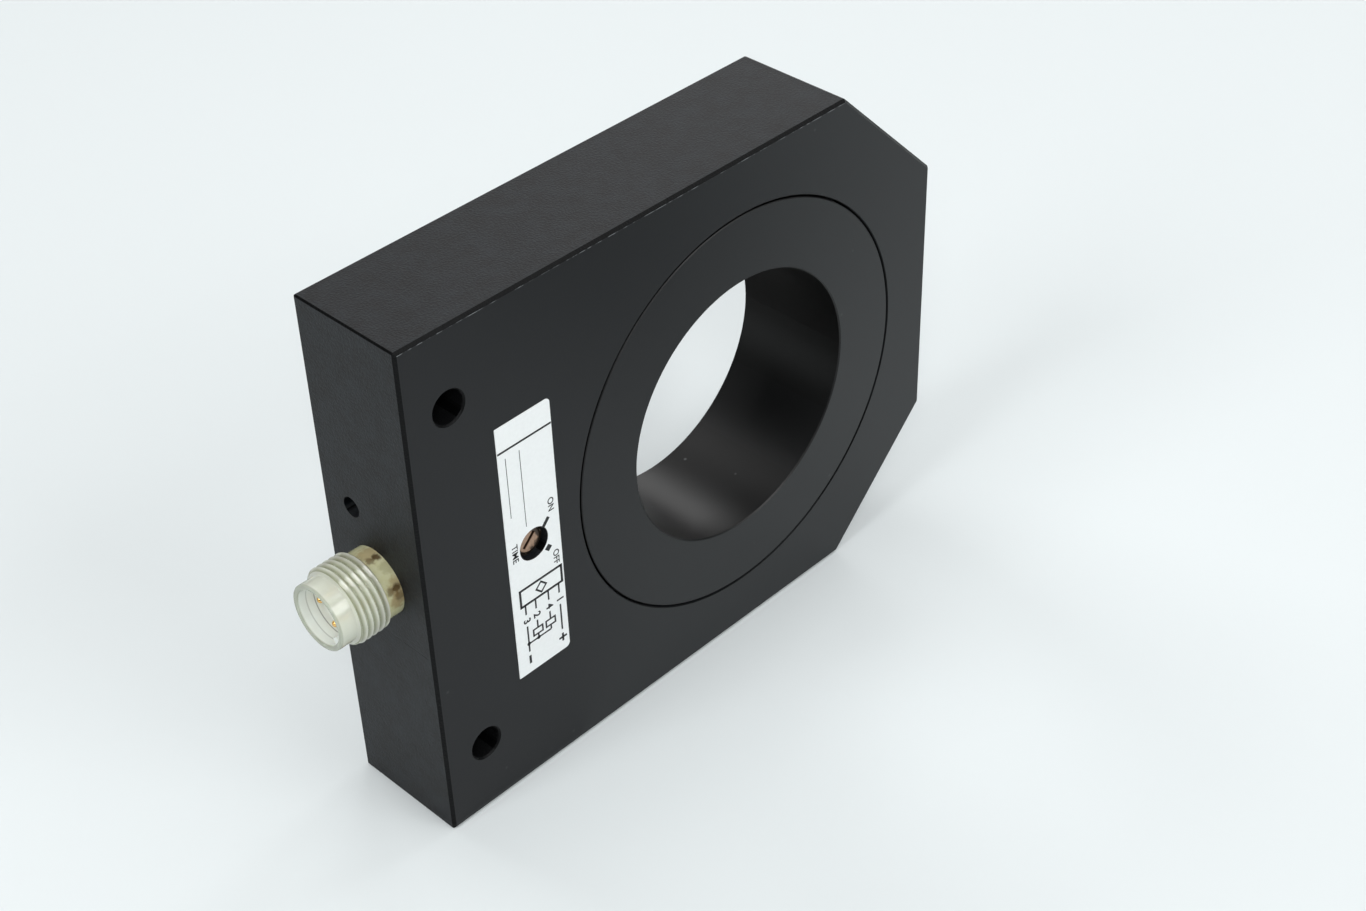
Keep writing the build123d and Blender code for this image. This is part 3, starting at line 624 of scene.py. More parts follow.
@dataclass(frozen=True)
class RotorFinish:
    """Tan moulding with dark dirt along one side of the rim, and painted shade: the floor of its slot is
    dark.
    """

    name: str
    centre: Place
    rim_radius: float
    colour: Colour = shade(176, 146, 122)
    deep: Colour = shade(146, 120, 100)
    # the colour painted as shade on the slot's floor
    slot: Colour = shade(40, 22, 10)
    dirt: Colour = shade(38, 30, 20)
    slot_shade_depth: float = 0.12 * MM
    dirt_angles: tuple[float, ...] = (-75, -48, -25, 2, 28, 52)
    dirt_radius: float = 0.62 * MM
    dirt_reach: float = 0.92
    dirt_unevenness: float = 1.6
    dirt_strength: float = 0.9
    roughness: float = 0.45
    depth: float = 0.004 * MM

    def material(self, groups: Groups) -> bpy.types.Material:
        """Builds the material.

        Args:
            groups: the shared node groups.

        Returns:
            The material.
        """
        dye = Dye.start(self.name)
        grain = dye.use(groups["grain"], Cloud=900.0)
        colour = dye.clouded(grain, self.deep, self.colour)
        x, y, z = self.centre
        reach = self.rim_radius * self.dirt_reach
        for turn in map(math.radians, self.dirt_angles):
            spot = (x + reach * math.cos(turn), y, z + reach * math.sin(turn))
            blot = dye.use(groups["blot"], Centre=spot, Radius=self.dirt_radius,
                           Unevenness=self.dirt_unevenness)
            shown = dye.calc("MULTIPLY", blot.outputs["Mask"], self.dirt_strength)
            colour = dye.tint(shown, colour, self.dirt)
        # Painted shade: from half the slot's depth down, the rotor fades to the dark slot colour.
        below = dye.ramp(dye.place_along("Y"), y + self.slot_shade_depth / 2, y + self.slot_shade_depth)
        dye.set("Base Color", dye.tint(below, colour, self.slot))
        dye.set("Roughness", self.roughness)
        dye.bump(grain.outputs["Height"], self.depth)
        return dye.material


@dataclass(frozen=True)
class WoundFinish:
    """Turns of enamelled wire, drawn as fine rounds along the thickness of the coil, with painted shade
    darkening the gaps between the turns.
    """

    name: str
    colour: Colour
    deep: Colour
    pitch: float = 0.3 * MM
    round_width: float = 0.4
    roughness: float = 0.33
    roughness_spread: float = 0.1

    def material(self, groups: Groups) -> bpy.types.Material:
        """Builds the material.

        Args:
            groups: the shared node groups.

        Returns:
            The material.
        """
        dye = Dye.start(self.name, Metallic=1.0)
        grain = dye.use(groups["grain"])
        wave = dye.calc("PINGPONG", dye.calc("DIVIDE", dye.place_along("Y"), self.pitch), 0.5)
        crown = dye.ramp(wave, 0.0, self.round_width)
        # Painted shade: the deep colour fills the gaps between the turns.
        dye.set("Base Color", dye.tint(crown, self.deep, self.colour))
        dye.roughen(grain, self.roughness, self.roughness_spread)
        dye.bump(crown, self.pitch / 3)
        return dye.material


@dataclass(frozen=True)
class FilmFinish:
    """White satin plastic film."""

    name: str = "label_white_film"
    colour: Colour = (0.89, 0.92, 0.92)
    tone_reach: float = 0.25
    roughness: float = 0.4
    roughness_spread: float = 0.1
    depth: float = 0.003 * MM

    def material(self, groups: Groups) -> bpy.types.Material:
        """Builds the material.

        Args:
            groups: the shared node groups.

        Returns:
            The material.
        """
        dye = Dye.start(self.name)
        grain = dye.use(groups["grain"], Grain=1800.0, Cloud=160.0)
        dye.set("Base Color", dye.clouded(grain, scaled(self.colour, 0.95), self.colour, self.tone_reach))
        dye.roughen(grain, self.roughness, self.roughness_spread)
        dye.bump(grain.outputs["Height"], self.depth)
        return dye.material


@dataclass(frozen=True)
class GlueMark:
    """One brown mark of glue under the clear neck of the plug."""

    centre: Place
    radius: float
    colour: Colour
    strength: float
    unevenness: float = 1.2


@dataclass(frozen=True)
class ClearPlastic:
    """Clear, slightly yellow moulded plastic with a grey-green rim.

    It has glue marks and fine grey lines at the steps of the socket, and painted shade: where thread radii
    are given, the thread's valleys are darker.
    """

    name: str
    rim_x: float
    colour: Colour
    deep: Colour
    clearness: float
    roughness: float
    marks: tuple[GlueMark, ...] = ()
    groove_shade_radii: Point | None = None
    # the colour painted as shade in the thread's valleys
    groove: Colour = (0.36, 0.38, 0.22)
    groove_shade_strength: float = 0.85
    rim: Colour = (0.62, 0.66, 0.55)
    rim_span: Point = (0.4 * MM, 0.15 * MM)
    steps: tuple[Point, ...] = ()
    step_span: Point = (0.13 * MM, 0.05 * MM)
    step_line: Colour = (0.2, 0.22, 0.2)
    tone_reach: float = 0.25
    roughness_spread: float = 0.06
    depth: float = 0.002 * MM

    def material(self, groups: Groups) -> bpy.types.Material:
        """Builds the material.

        Args:
            groups: the shared node groups.

        Returns:
            The material.
        """
        dye = Dye.start(self.name, Transmission_Weight=self.clearness, IOR=1.5)
        grain = dye.use(groups["grain"], Grain=1500.0, Cloud=400.0)
        colour = dye.clouded(grain, self.deep, self.colour, self.tone_reach)
        for mark in self.marks:
            blot = dye.use(groups["blot"], Centre=mark.centre, Radius=mark.radius,
                           Unevenness=mark.unevenness)
            shown = dye.calc("MULTIPLY", blot.outputs["Mask"], mark.strength)
            colour = dye.tint(shown, colour, mark.colour)
        inward = dye.calc("SUBTRACT", dye.place_along("X"), self.rim_x)
        colour = dye.tint(dye.ramp(inward, *self.rim_span), colour, self.rim)
        for step, strength in self.steps:
            off = dye.calc("ABSOLUTE", dye.calc("SUBTRACT", inward, step))
            line = dye.calc("MULTIPLY", dye.ramp(off, *self.step_span), strength)
            colour = dye.tint(line, colour, self.step_line)
        # Painted shade: between the crest and the root radius, the thread's valleys take the darker olive
        # groove colour.
        if self.groove_shade_radii:
            crest, root = self.groove_shade_radii
            across = dye.calc("MULTIPLY", dye.place, (0.0, 1.0, 1.0), vector=True)
            away = dye.calc("LENGTH", across, vector=True)
            low = dye.calc("MULTIPLY", dye.ramp(away, crest, root), dye.calc("GREATER_THAN", away, root))
            colour = dye.tint(dye.calc("MULTIPLY", low, self.groove_shade_strength), colour, self.groove)
        dye.set("Base Color", colour)
        dye.roughen(grain, self.roughness, self.roughness_spread)
        dye.bump(grain.outputs["Height"], self.depth)
        return dye.material


# Meshes


def keep(name: str, mesh: bpy.types.Mesh, material: bpy.types.Material) -> bpy.types.Object:
    """Puts a finished mesh in the scene as an unturned object at the origin.

    Args:
        name: the piece's name.
        mesh: its mesh, in the part's frame.
        material: its material.

    Returns:
        The new object.
    """
    mesh.name = name
    mesh.materials.clear()
    mesh.materials.append(material)
    piece = bpy.data.objects.new(name, mesh)
    bpy.context.scene.collection.objects.link(piece)
    return piece


def mount(piece: bpy.types.Object, slot: str, *nodes: str) -> None:
    """Fixes a finished piece to the block.

    Args:
        piece: the piece.
        slot: the name of a record slot; not used.
        nodes: the CAD nodes it stands for.
    """
    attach(piece, BLOCK_BODY)
    if nodes:
        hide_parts(*nodes)
    LOG.info("%s: %d faces", piece.name, len(piece.data.polygons))


def baked(data: bpy.types.ID, tree: bpy.types.NodeTree | None = None, **values: float) -> bpy.types.Mesh:
    """The plain mesh of a curve, a text or a mesh that geometry nodes work on.

    Args:
        data: the curve, text or mesh.
        tree: the geometry nodes, where there are any.
        values: the tree's inputs, with underscores for spaces.

    Returns:
        A plain mesh of its own.
    """
    piece = bpy.data.objects.new("working", data)
    bpy.context.scene.collection.objects.link(piece)
    if tree:
        modifier = piece.modifiers.new("tree", "NODES")
        modifier.node_group = tree
        named = {item.name: item.identifier for item in tree.interface.items_tree if item.in_out == "INPUT"}
        for label, value in values.items():
            modifier[named[label.replace("_", " ")]] = value
    graph = bpy.context.evaluated_depsgraph_get()
    mesh = bpy.data.meshes.new_from_object(piece.evaluated_get(graph))
    bpy.data.objects.remove(piece, do_unlink=True)
    return mesh


def joined(meshes: Iterable[bpy.types.Mesh], merge: float = 0.0) -> bpy.types.Mesh:
    """One mesh from several, with faces outwards.

    Args:
        meshes: the meshes.
        merge: how near two corners are merged, or 0 for never.

    Returns:
        The joined mesh.
    """
    form = bmesh.new()
    for mesh in meshes:
        form.from_mesh(mesh)
    if merge:
        bmesh.ops.remove_doubles(form, verts=form.verts, dist=merge)
    bmesh.ops.recalc_face_normals(form, faces=form.faces)
    result = bpy.data.meshes.new("joined")
    form.to_mesh(result)
    form.free()
    return result


def rounded(corners: list[Place], steps: int) -> list[Point]:
    """A closed outline whose corners are arcs.

    Args:
        corners: each corner's place and radius, where a radius of 0 keeps it sharp.
        steps: how many chords an arc has.

    Returns:
        The outline's points.
    """
    outline: list[Point] = []
    for index, (x, y, radius) in enumerate(corners):
        if not radius:
            outline.append((x, y))
            continue
        here = Vector((x, y))
        before = (Vector(corners[index - 1][:2]) - here).normalized()
        after = (Vector(corners[(index + 1) % len(corners)][:2]) - here).normalized()
        half = before.angle(after) / 2
        centre = here + (before + after).normalized() * (radius / math.sin(half))
        reach = radius / math.tan(half)
        start = math.atan2(*reversed(here + before * reach - centre))
        end = math.atan2(*reversed(here + after * reach - centre))
        sweep = (end - start + math.pi) % math.tau - math.pi
        for step in range(steps + 1):
            angle = start + sweep * step / steps
            outline.append((centre.x + radius * math.cos(angle), centre.y + radius * math.sin(angle)))
    return outline


def plate(outlines: list[list[Point]], thickness: float, edge: float = 0.0) -> bpy.types.Mesh:
    """A flat plate in the XY plane, its inner outlines cut out.

    Args:
        outlines: the closed outlines, outer first.
        thickness: the plate's thickness, half above and half below the plane.
        edge: how far its edges are rounded.

    Returns:
        A closed mesh.
    """
    curve = bpy.data.curves.new("flat", "CURVE")
    curve.dimensions = "2D"
    curve.fill_mode = "BOTH"
    curve.extrude = thickness / 2 - edge
    curve.bevel_depth = edge
    curve.bevel_resolution = 1
    curve.offset = -edge
    for outline in outlines:
        spline = curve.splines.new("POLY")
        spline.points.add(len(outline) - 1)
        for point, (x, y) in zip(spline.points, outline):
            point.co = (x, y, 0.0, 1.0)
        spline.use_cyclic_u = True
    return joined([baked(curve)], merge=thickness / 50)


def turned(
    outline: list[Point],
    segments: int,
    reach: Callable[[float, float, float], float],
) -> bpy.types.Mesh:
    """An outline of (x, radius) points turned about the X axis.

    Args:
        outline: the points, from the axis out and back to the axis.
        segments: how many steps make a full turn.
        reach: gives the radius to use for an x, a radius and an angle.

    Returns:
        A closed mesh.
    """
    form = bmesh.new()
    rings: list[list[bmesh.types.BMVert]] = []
    for x, radius in outline:
        steps = segments if radius > 0 else 1
        ring = []
        for step in range(steps):
            angle = math.tau * step / segments
            far = reach(x, radius, angle)
            ring.append(form.verts.new((x, far * math.cos(angle), far * math.sin(angle))))
        rings.append(ring)
    for near, far in zip(rings, rings[1:]):
        for step in range(segments):
            after = (step + 1) % segments
            corners = [near[step % len(near)], near[after % len(near)]]
            corners += [far[after % len(far)], far[step % len(far)]]
            form.faces.new(list(dict.fromkeys(corners)))
    bmesh.ops.recalc_face_normals(form, faces=form.faces)
    mesh = bpy.data.meshes.new("turned")
    form.to_mesh(mesh)
    form.free()
    return mesh


def end_tree(
    wiring: Wiring,
    shape: bpy.types.NodeSocket,
    made: bpy.types.Node,
    dye: bpy.types.Material,
) -> None:
    """Ends a geometry tree with real copies and a material.

    Args:
        wiring: the tree's wiring.
        shape: what has been made so far.
        made: the tree's output node.
        dye: the material to set.
    """
    real = wiring.add("GeometryNodeRealizeInstances")
    wiring.feed(real.inputs["Geometry"], shape)
    worn = wiring.add("GeometryNodeSetMaterial")
    wiring.feed(worn.inputs["Geometry"], real.outputs["Geometry"])
    worn.inputs["Material"].default_value = dye
    wiring.feed(made.inputs["Geometry"], worn.outputs["Geometry"])


def thread_tree(dye: bpy.types.Material) -> bpy.types.NodeTree:
    """Geometry nodes that cut a right-hand thread into a blank turned about X.

    Args:
        dye: the material that the threaded piece wears.

    Returns:
        The node tree.
    """
    inputs = {
        "Geometry": (SOLID, None),
        "Start": (NUMBER, 0.0),
        "End": (NUMBER, 0.0),
        "Pitch": (NUMBER, MM),
        "Crest Radius": (NUMBER, 6 * MM),
        "Depth": (NUMBER, 0.6 * MM),
    }
    crest_flat = 0.06
    stretch = 1.136
    wiring, given, made = open_group("cut_thread", "GeometryNodeTree", inputs, {"Geometry": SOLID})
    start = given.outputs["Start"]
    crest = given.outputs["Crest Radius"]
    depth = given.outputs["Depth"]
    here = wiring.add("ShaderNodeSeparateXYZ")
    wiring.feed(here.inputs[0], wiring.add("GeometryNodeInputPosition").outputs[0])
    x, y, z = here.outputs
    square = wiring.calc("MULTIPLY_ADD", y, y, wiring.calc("MULTIPLY", z, z))
    radius = wiring.calc("SQRT", square)
    turn = wiring.calc("DIVIDE", wiring.calc("ARCTAN2", z, y), math.tau)
    along = wiring.calc("DIVIDE", wiring.calc("SUBTRACT", x, start), given.outputs["Pitch"])
    phase = wiring.calc("FRACT", wiring.calc("SUBTRACT", wiring.calc("ADD", along, 2.0), turn))
    flank = wiring.calc("MULTIPLY", wiring.calc("PINGPONG", phase, 0.5), 2.0)
    clipped = wiring.calc("MINIMUM", wiring.calc("MAXIMUM", flank, crest_flat), 1.0 - crest_flat)
    crown = wiring.calc("MULTIPLY_ADD", clipped, stretch, (1.0 - stretch) / 2)
    groove = wiring.calc("SUBTRACT", 1.0, crown)
    cut = wiring.calc("SUBTRACT", crest, wiring.calc("MULTIPLY", depth, groove))
    share = wiring.calc("DIVIDE", wiring.calc("MINIMUM", radius, cut), radius)
    after_start = wiring.calc("GREATER_THAN", x, start)
    before_end = wiring.calc("LESS_THAN", x, given.outputs["End"])
    outer = wiring.calc("GREATER_THAN", radius, wiring.calc("SUBTRACT", crest, depth))
    place = wiring.add("ShaderNodeCombineXYZ")
    wiring.feed(place.inputs["X"], x)
    wiring.feed(place.inputs["Y"], wiring.calc("MULTIPLY", y, share))
    wiring.feed(place.inputs["Z"], wiring.calc("MULTIPLY", z, share))
    move = wiring.add("GeometryNodeSetPosition")
    wiring.feed(move.inputs["Geometry"], given.outputs["Geometry"])
    inside = wiring.calc("MULTIPLY", after_start, before_end)
    wiring.feed(move.inputs["Selection"], wiring.calc("MULTIPLY", inside, outer))
    wiring.feed(move.inputs["Position"], place.outputs[0])
    end_tree(wiring, move.outputs["Geometry"], made, dye)
    return wiring.tree


def stroke_tree(dye: bpy.types.Material) -> bpy.types.NodeTree:
    """Geometry nodes that turn loose edges in the XY plane into flat printed strokes.

    Args:
        dye: the ink.

    Returns:
        The node tree.
    """
    inputs = {"Geometry": (SOLID, None), "Width": (NUMBER, 0.2), "Thickness": (NUMBER, 0.02)}
    wiring, given, made = open_group("printed_strokes", "GeometryNodeTree", inputs, {"Geometry": SOLID})
    paths = wiring.add("GeometryNodeMeshToCurve")
    wiring.feed(paths.inputs["Mesh"], given.outputs["Geometry"])
    upright = wiring.add("GeometryNodeSetCurveNormal", mode="Z_UP")
    wiring.feed(upright.inputs["Curve"], paths.outputs["Curve"])
    profile = wiring.add("GeometryNodeCurvePrimitiveQuadrilateral")
    wiring.feed(profile.inputs["Width"], given.outputs["Width"])
    wiring.feed(profile.inputs["Height"], given.outputs["Thickness"])
    swept = wiring.add("GeometryNodeCurveToMesh")
    wiring.feed(swept.inputs["Curve"], upright.outputs["Curve"])
    wiring.feed(swept.inputs["Profile Curve"], profile.outputs["Curve"])
    wiring.feed(swept.inputs["Fill Caps"], True)
    end_tree(wiring, swept.outputs["Mesh"], made, dye)
    return wiring.tree


# Sub-assemblies


@dataclass
class Paint:
    """Every finish of the sensor, built once and handed out by its record slot."""

    end_x: float
    front_y: float
    top_z: float
    holes: tuple[Place, ...]
    rotor_radius: float = 1.95 * MM
    groups: Groups = field(default_factory=dict)
    made: dict[str, bpy.types.Material] = field(default_factory=dict)

    def finishes(self) -> dict[str, Finish]:
        """Gathers the finishes.

        Returns:
            Each slot's finish.
        """
        line = FineLines(self.end_x, self.front_y, self.top_z)
        low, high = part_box("trimmer_rotor")
        rotor = (low + high) / 2
        rim_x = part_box("plug_body")[0].x
        return {
            "housing_plastic": BlockPlastic("black_block", shade(3, 6, 10), shade(11, 14, 17),
                                            bevel_dark_reflection=0.72, line=line, holes=self.holes),
            "ring_plastic": BlockPlastic("black_ring", shade(8, 11, 14), shade(1, 1, 1),
                                         grained_roughness=0.42, grain_depth=0.006 * MM),
            "label_film": FilmFinish(),
            "label_ink": PlainFinish("label_ink", shade(16, 18, 20), shade(10, 12, 14)),
            "winding_copper": WoundFinish("enamelled_copper", (0.72, 0.3, 0.12), (0.2, 0.06, 0.02)),
            "coil_tape": PlainFinish("tape_amber", (0.62, 0.38, 0.08), (0.5, 0.28, 0.05), 0.35),
            "board_laminate": PlainFinish("board_green", (0.03, 0.16, 0.06), (0.02, 0.11, 0.04), 0.4),
            "package_plastic": PlainFinish("package_black", (0.02, 0.02, 0.021), (0.012, 0.012, 0.013)),
            "capacitor_yellow": PlainFinish("capacitor_ochre", (0.72, 0.46, 0.05), (0.6, 0.36, 0.03), 0.45),
            "capacitor_red": PlainFinish("capacitor_red", (0.42, 0.05, 0.03), (0.32, 0.03, 0.02), 0.4),
            "can_aluminium": PlainFinish("can_satin", (0.8, 0.8, 0.82), (0.68, 0.68, 0.7), 0.32, 1.0),
            "resistor_ceramic": PlainFinish("resistor_dark", (0.03, 0.03, 0.035), (0.02, 0.02, 0.02)),
            "spring_bronze": PlainFinish("bronze_spring", (0.6, 0.36, 0.16), (0.45, 0.26, 0.1), 0.35, 1.0),
            "track_ceramic": PlainFinish("track_white", (0.75, 0.73, 0.68), (0.66, 0.64, 0.6), 0.6),
            "tinned_metal": PlainFinish("tinned", (0.72, 0.71, 0.69), (0.6, 0.59, 0.57), 0.3, 1.0),
            "pin_gold": PlainFinish("pin_gold", (0.95, 0.62, 0.24), (0.85, 0.5, 0.16), 0.22, 1.0),
            "wire_brown": PlainFinish("sleeve_brown", (0.16, 0.06, 0.025), (0.12, 0.045, 0.02)),
            "wire_white": PlainFinish("sleeve_white", (0.78, 0.78, 0.75), (0.7, 0.7, 0.67)),
            "wire_blue": PlainFinish("sleeve_blue", (0.03, 0.1, 0.42), (0.02, 0.07, 0.32)),
            "wire_black": PlainFinish("sleeve_black", (0.02, 0.02, 0.02), (0.014, 0.014, 0.014)),
            "rotor_tan": RotorFinish("rotor_tan", (rotor.x, low.y, rotor.z), self.rotor_radius),
            "trimmer_black": PlainFinish("trimmer_case_dark", shade(50, 42, 34), shade(24, 20, 16), 0.25,
                                         specks=0.3),
            # Painted highlight: the lamp lens's white specks stand in for glints on its domed lens.
            "lamp_lens": PlainFinish("lamp_smoked_painted_glints", shade(26, 27, 28), shade(14, 14, 15), 0.1,
                                     depth=0.001 * MM, specks=0.4, speck=(1.0, 1.0, 1.0)),
            "plug_clear": ClearPlastic("plug_clear_plastic", rim_x, (0.97, 0.99, 0.88), (0.94, 0.96, 0.82),
                                       clearness=0.55, roughness=0.11, groove_shade_radii=Plug.groove_shade_radii),
            # Painted light: the socket's inside is a paler, less clear copy of the clear plastic, so that
            # it shows bright in spite of the cavity's shade.
            "plug_inside": ClearPlastic("plug_socket_painted_light", rim_x, (0.95, 1.0, 0.96), (0.94, 0.98, 0.93),
                                        clearness=0.3, roughness=0.1, steps=Plug.steps),
            "plug_neck": ClearPlastic("plug_milky_neck", rim_x, (0.9, 0.9, 0.6), (0.84, 0.84, 0.5),
                                      clearness=0.35, roughness=0.1, marks=Plug.marks(self.end_x)),
        }

    def mix(self) -> None:
        """Builds the shared groups and the material of every slot."""
        self.groups = {"grain": grain_group(), "blot": blot_group()}
        for slot, finish in self.finishes().items():
            self.made[slot] = finish.material(self.groups)

    def dress_nodes(self) -> None:
        """Gives every CAD node the finish of its slot."""
        for part in frame["record"]["subparts"]:
            node = frame["nodes"][part["node"]]
            node.data.materials.clear()
            node.data.materials.append(self.made[part["material_slot"]])
            LOG.info("%s wears %s", part["node"], part["material_slot"])


@dataclass(frozen=True)
class Bar:
    """A printed bar about its middle, in mm, turned by an angle in degrees."""

    x: float
    y: float
    length: float
    angle: float
    width: float


@dataclass(frozen=True)
class Word:
    """A printed word or figure about its middle, in mm."""

    text: str
    x: float
    y: float
    size: float = 1.5
    boldness: float = 0.015


@dataclass
class Label:
    """The white film label with its generic print, pierced for the trimmer.

    It is drawn in mm about its own centre.
    """

    film: bpy.types.Material
    ink: bpy.types.Material
    width: float = 9.85
    height: float = 45.0
    corner: float = 0.75
    near_corner: float = 0.12
    corner_steps: int = 8
    tilt: float = math.radians(-0.45)
    film_edge: float = 0.02
    hole_radius: float = 2.65
    hole_segments: int = 96
    ink_thickness: float = 0.02
    stroke: float = 0.28
    box_stroke: float = 0.4
    divider_stroke: float = 0.32
    rule_stroke: float = 0.1
    divider: float = 18.3
    divider_inset: float = 0.1
    rule_top: float = 17.0
    rules: tuple[Point, ...] = ((-1.07, 3.7), (-3.57, 6.7))
    words: tuple[Word, ...] = (Word("ON", 3.52, 4.86), Word("OFF", 3.73, -4.78), Word("TIME", -3.57, 0.23))
    word_turn: float = math.radians(-90)
    dial_marks: tuple[Bar, ...] = (Bar(2.38, 2.33, 1.7, 47.5, 0.62), Bar(2.5, -2.35, 0.95, -45.0, 0.95))
    box_low: Point = (-3.4, -9.8)
    box_high: Point = (4.45, -6.82)
    diamond_reach: float = 0.95
    leads: tuple[tuple[str, float], ...] = (("1", 3.72), ("4", 1.68), ("2", -0.75), ("3", -2.66))
    lead_end: float = -11.57
    figure_height: float = -12.8
    figure_size: float = 1.75
    figure_boldness: float = 0.05
    branch_top: float = -13.78
    line_bottom: float = -18.6
    load_top: float = -15.2
    load_bottom: float = -16.3
    load_width: float = 1.75
    link_height: float = -17.1
    dot_radius: float = 0.33
    dot_segments: int = 20
    sign_height: float = -20.1
    sign_size: float = 1.5
    plus_width: float = 0.36
    minus_width: float = 0.42
    centre: Vector = field(init=False)
    hole: Vector = field(init=False)
    back_y: float = field(init=False)
    film_front_y: float = field(init=False)

    def __post_init__(self) -> None:
        """Reads the label's place and the trimmer's from the frame."""
        low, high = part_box("label")
        self.centre = (low + high) / 2
        self.back_y = high.y
        self.film_front_y = low.y + self.ink_thickness * MM
        low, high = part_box("trimmer_rotor")
        middle = (low + high) / 2
        away = Vector((middle.x - self.centre.x, middle.z - self.centre.z)) / MM
        self.hole = Matrix.Rotation(self.tilt, 2) @ away

    def build(self) -> None:
        """Makes the film and the print."""
        mount(keep("label_film", self.film_mesh(), self.film), "label_film", "label")
        mount(keep("label_print", self.print_mesh(), self.ink), "label_film")

    def stood(self, mesh: bpy.types.Mesh, y: float) -> bpy.types.Mesh:
        """Stands a flat drawing in mm on the front face.

        Args:
            mesh: the flat mesh, in the XY plane.
            y: where its middle plane goes.

        Returns:
            The mesh in the part's frame.
        """
        c = self.centre
        stand = Matrix(((1, 0, 0, c.x), (0, 0, -1, y), (0, 1, 0, c.z), (0, 0, 0, 1)))
        mesh.transform(stand @ Matrix.Scale(MM, 4) @ Matrix.Rotation(-self.tilt, 4, "Z"))
        return mesh

    def round_path(self, x: float, y: float, radius: float, segments: int) -> list[Point]:
        """The points of a circle.

        Args:
            x: its middle.
            y: its middle.
            radius: its radius.
            segments: how many chords it has.

        Returns:
            The points, without the first one again.
        """
        turns = (math.tau * step / segments for step in range(segments))
        return [(x + radius * math.cos(turn), y + radius * math.sin(turn)) for turn in turns]

    def film_mesh(self) -> bpy.types.Mesh:
        """Makes the rounded sheet with its hole.

        Returns:
            The mesh in the part's frame.
        """
        half_width = self.width / 2
        half_height = self.height / 2
        outer = rounded([
            (-half_width, -half_height, self.near_corner),
            (half_width, -half_height, self.corner),
            (half_width, half_height, self.corner),
            (-half_width, half_height, self.near_corner),
        ], self.corner_steps)
        inner = self.round_path(self.hole.x, self.hole.y, self.hole_radius, self.hole_segments)
        thickness = (self.back_y - self.film_front_y) / MM
        mesh = plate([outer, inner], thickness, self.film_edge)
        return self.stood(mesh, (self.back_y + self.film_front_y) / 2)

    def word(self, word: Word) -> bpy.types.Mesh:
        """A word or a figure that reads downwards.

        Args:
            word: what it says, and where.

        Returns:
            Its flat mesh.
        """
        letters = bpy.data.curves.new("word", "FONT")
        letters.body = word.text
        letters.size = word.size
        letters.align_x = "CENTER"
        letters.align_y = "CENTER"
        letters.offset = word.boldness
        letters.extrude = self.ink_thickness / 2
        mesh = joined([baked(letters)], merge=self.ink_thickness / 20)
        mesh.transform(Matrix.Translation((word.x, word.y, 0)) @ Matrix.Rotation(self.word_turn, 4, "Z"))
        return mesh

    def bar(self, bar: Bar) -> bpy.types.Mesh:
        """A solid bar.

        Args:
            bar: its place and size.

        Returns:
            Its flat mesh.
        """
        across, up = bar.length / 2, bar.width / 2
        mesh = plate([[(-across, -up), (across, -up), (across, up), (-across, up)]], self.ink_thickness)
        turn = Matrix.Rotation(math.radians(bar.angle), 4, "Z")
        mesh.transform(Matrix.Translation((bar.x, bar.y, 0)) @ turn)
        return mesh

    def dot(self, x: float, y: float) -> bpy.types.Mesh:
        """A joint dot."""
        return plate([self.round_path(x, y, self.dot_radius, self.dot_segments)], self.ink_thickness)

    def strokes(self, tree: bpy.types.NodeTree, width: float, *paths: list[Point]) -> bpy.types.Mesh:
        """Lines of one width along paths, with full corners.

        Args:
            tree: the stroke nodes.
            width: the lines' width.
            paths: each line's points.

        Returns:
            Their flat mesh.
        """
        places: list[Place] = []
        edges: list[tuple[int, int]] = []
        for path in paths:
            overlap = width / 2 if len(path) > 2 else 0.0
            for near, far in zip(path, path[1:]):
                past = (Vector(far) - Vector(near)).normalized() * overlap
                edges.append((len(places), len(places) + 1))
                places += [(*(Vector(near) - past), 0.0), (*(Vector(far) + past), 0.0)]
        lines = bpy.data.meshes.new("lines")
        lines.from_pydata(places, edges, [])
        return joined([baked(lines, tree, Width=width, Thickness=self.ink_thickness)])

    def frame_path(self, low: Point, high: Point) -> list[Point]:
        """The closed path round a box."""
        return [low, (high[0], low[1]), high, (low[0], high[1]), low]

    def diamond_path(self) -> list[Point]:
        """The closed path of the diamond in the middle of the box.

        Returns:
            The path's points.
        """
        x, y = ((low + high) / 2 for low, high in zip(self.box_low, self.box_high))
        reach = self.diamond_reach
        return [(x - reach, y), (x, y - reach), (x + reach, y), (x, y + reach), (x - reach, y)]

    def wiring_paths(self) -> list[list[Point]]:
        """The lines of the wiring plan: the box's leads, the supply lines and the two loads.

        Returns:
            Each line's points.
        """
        places = dict(self.leads)
        paths = [[(x, self.box_low[1]), (x, self.lead_end)] for x in places.values()]
        for supply in ("1", "3"):
            paths.append([(places[supply], self.branch_top), (places[supply], self.line_bottom)])
        half = self.load_width / 2
        for loaded in ("4", "2"):
            x = places[loaded]
            paths.append([(x, self.branch_top), (x, self.load_top)])
            paths.append(self.frame_path((x - half, self.load_bottom), (x + half, self.load_top)))
            paths.append([(x, self.load_bottom), (x, self.link_height)])
        paths.append([(places["4"], self.link_height), (places["3"], self.link_height)])
        return [*paths, self.diamond_path()]

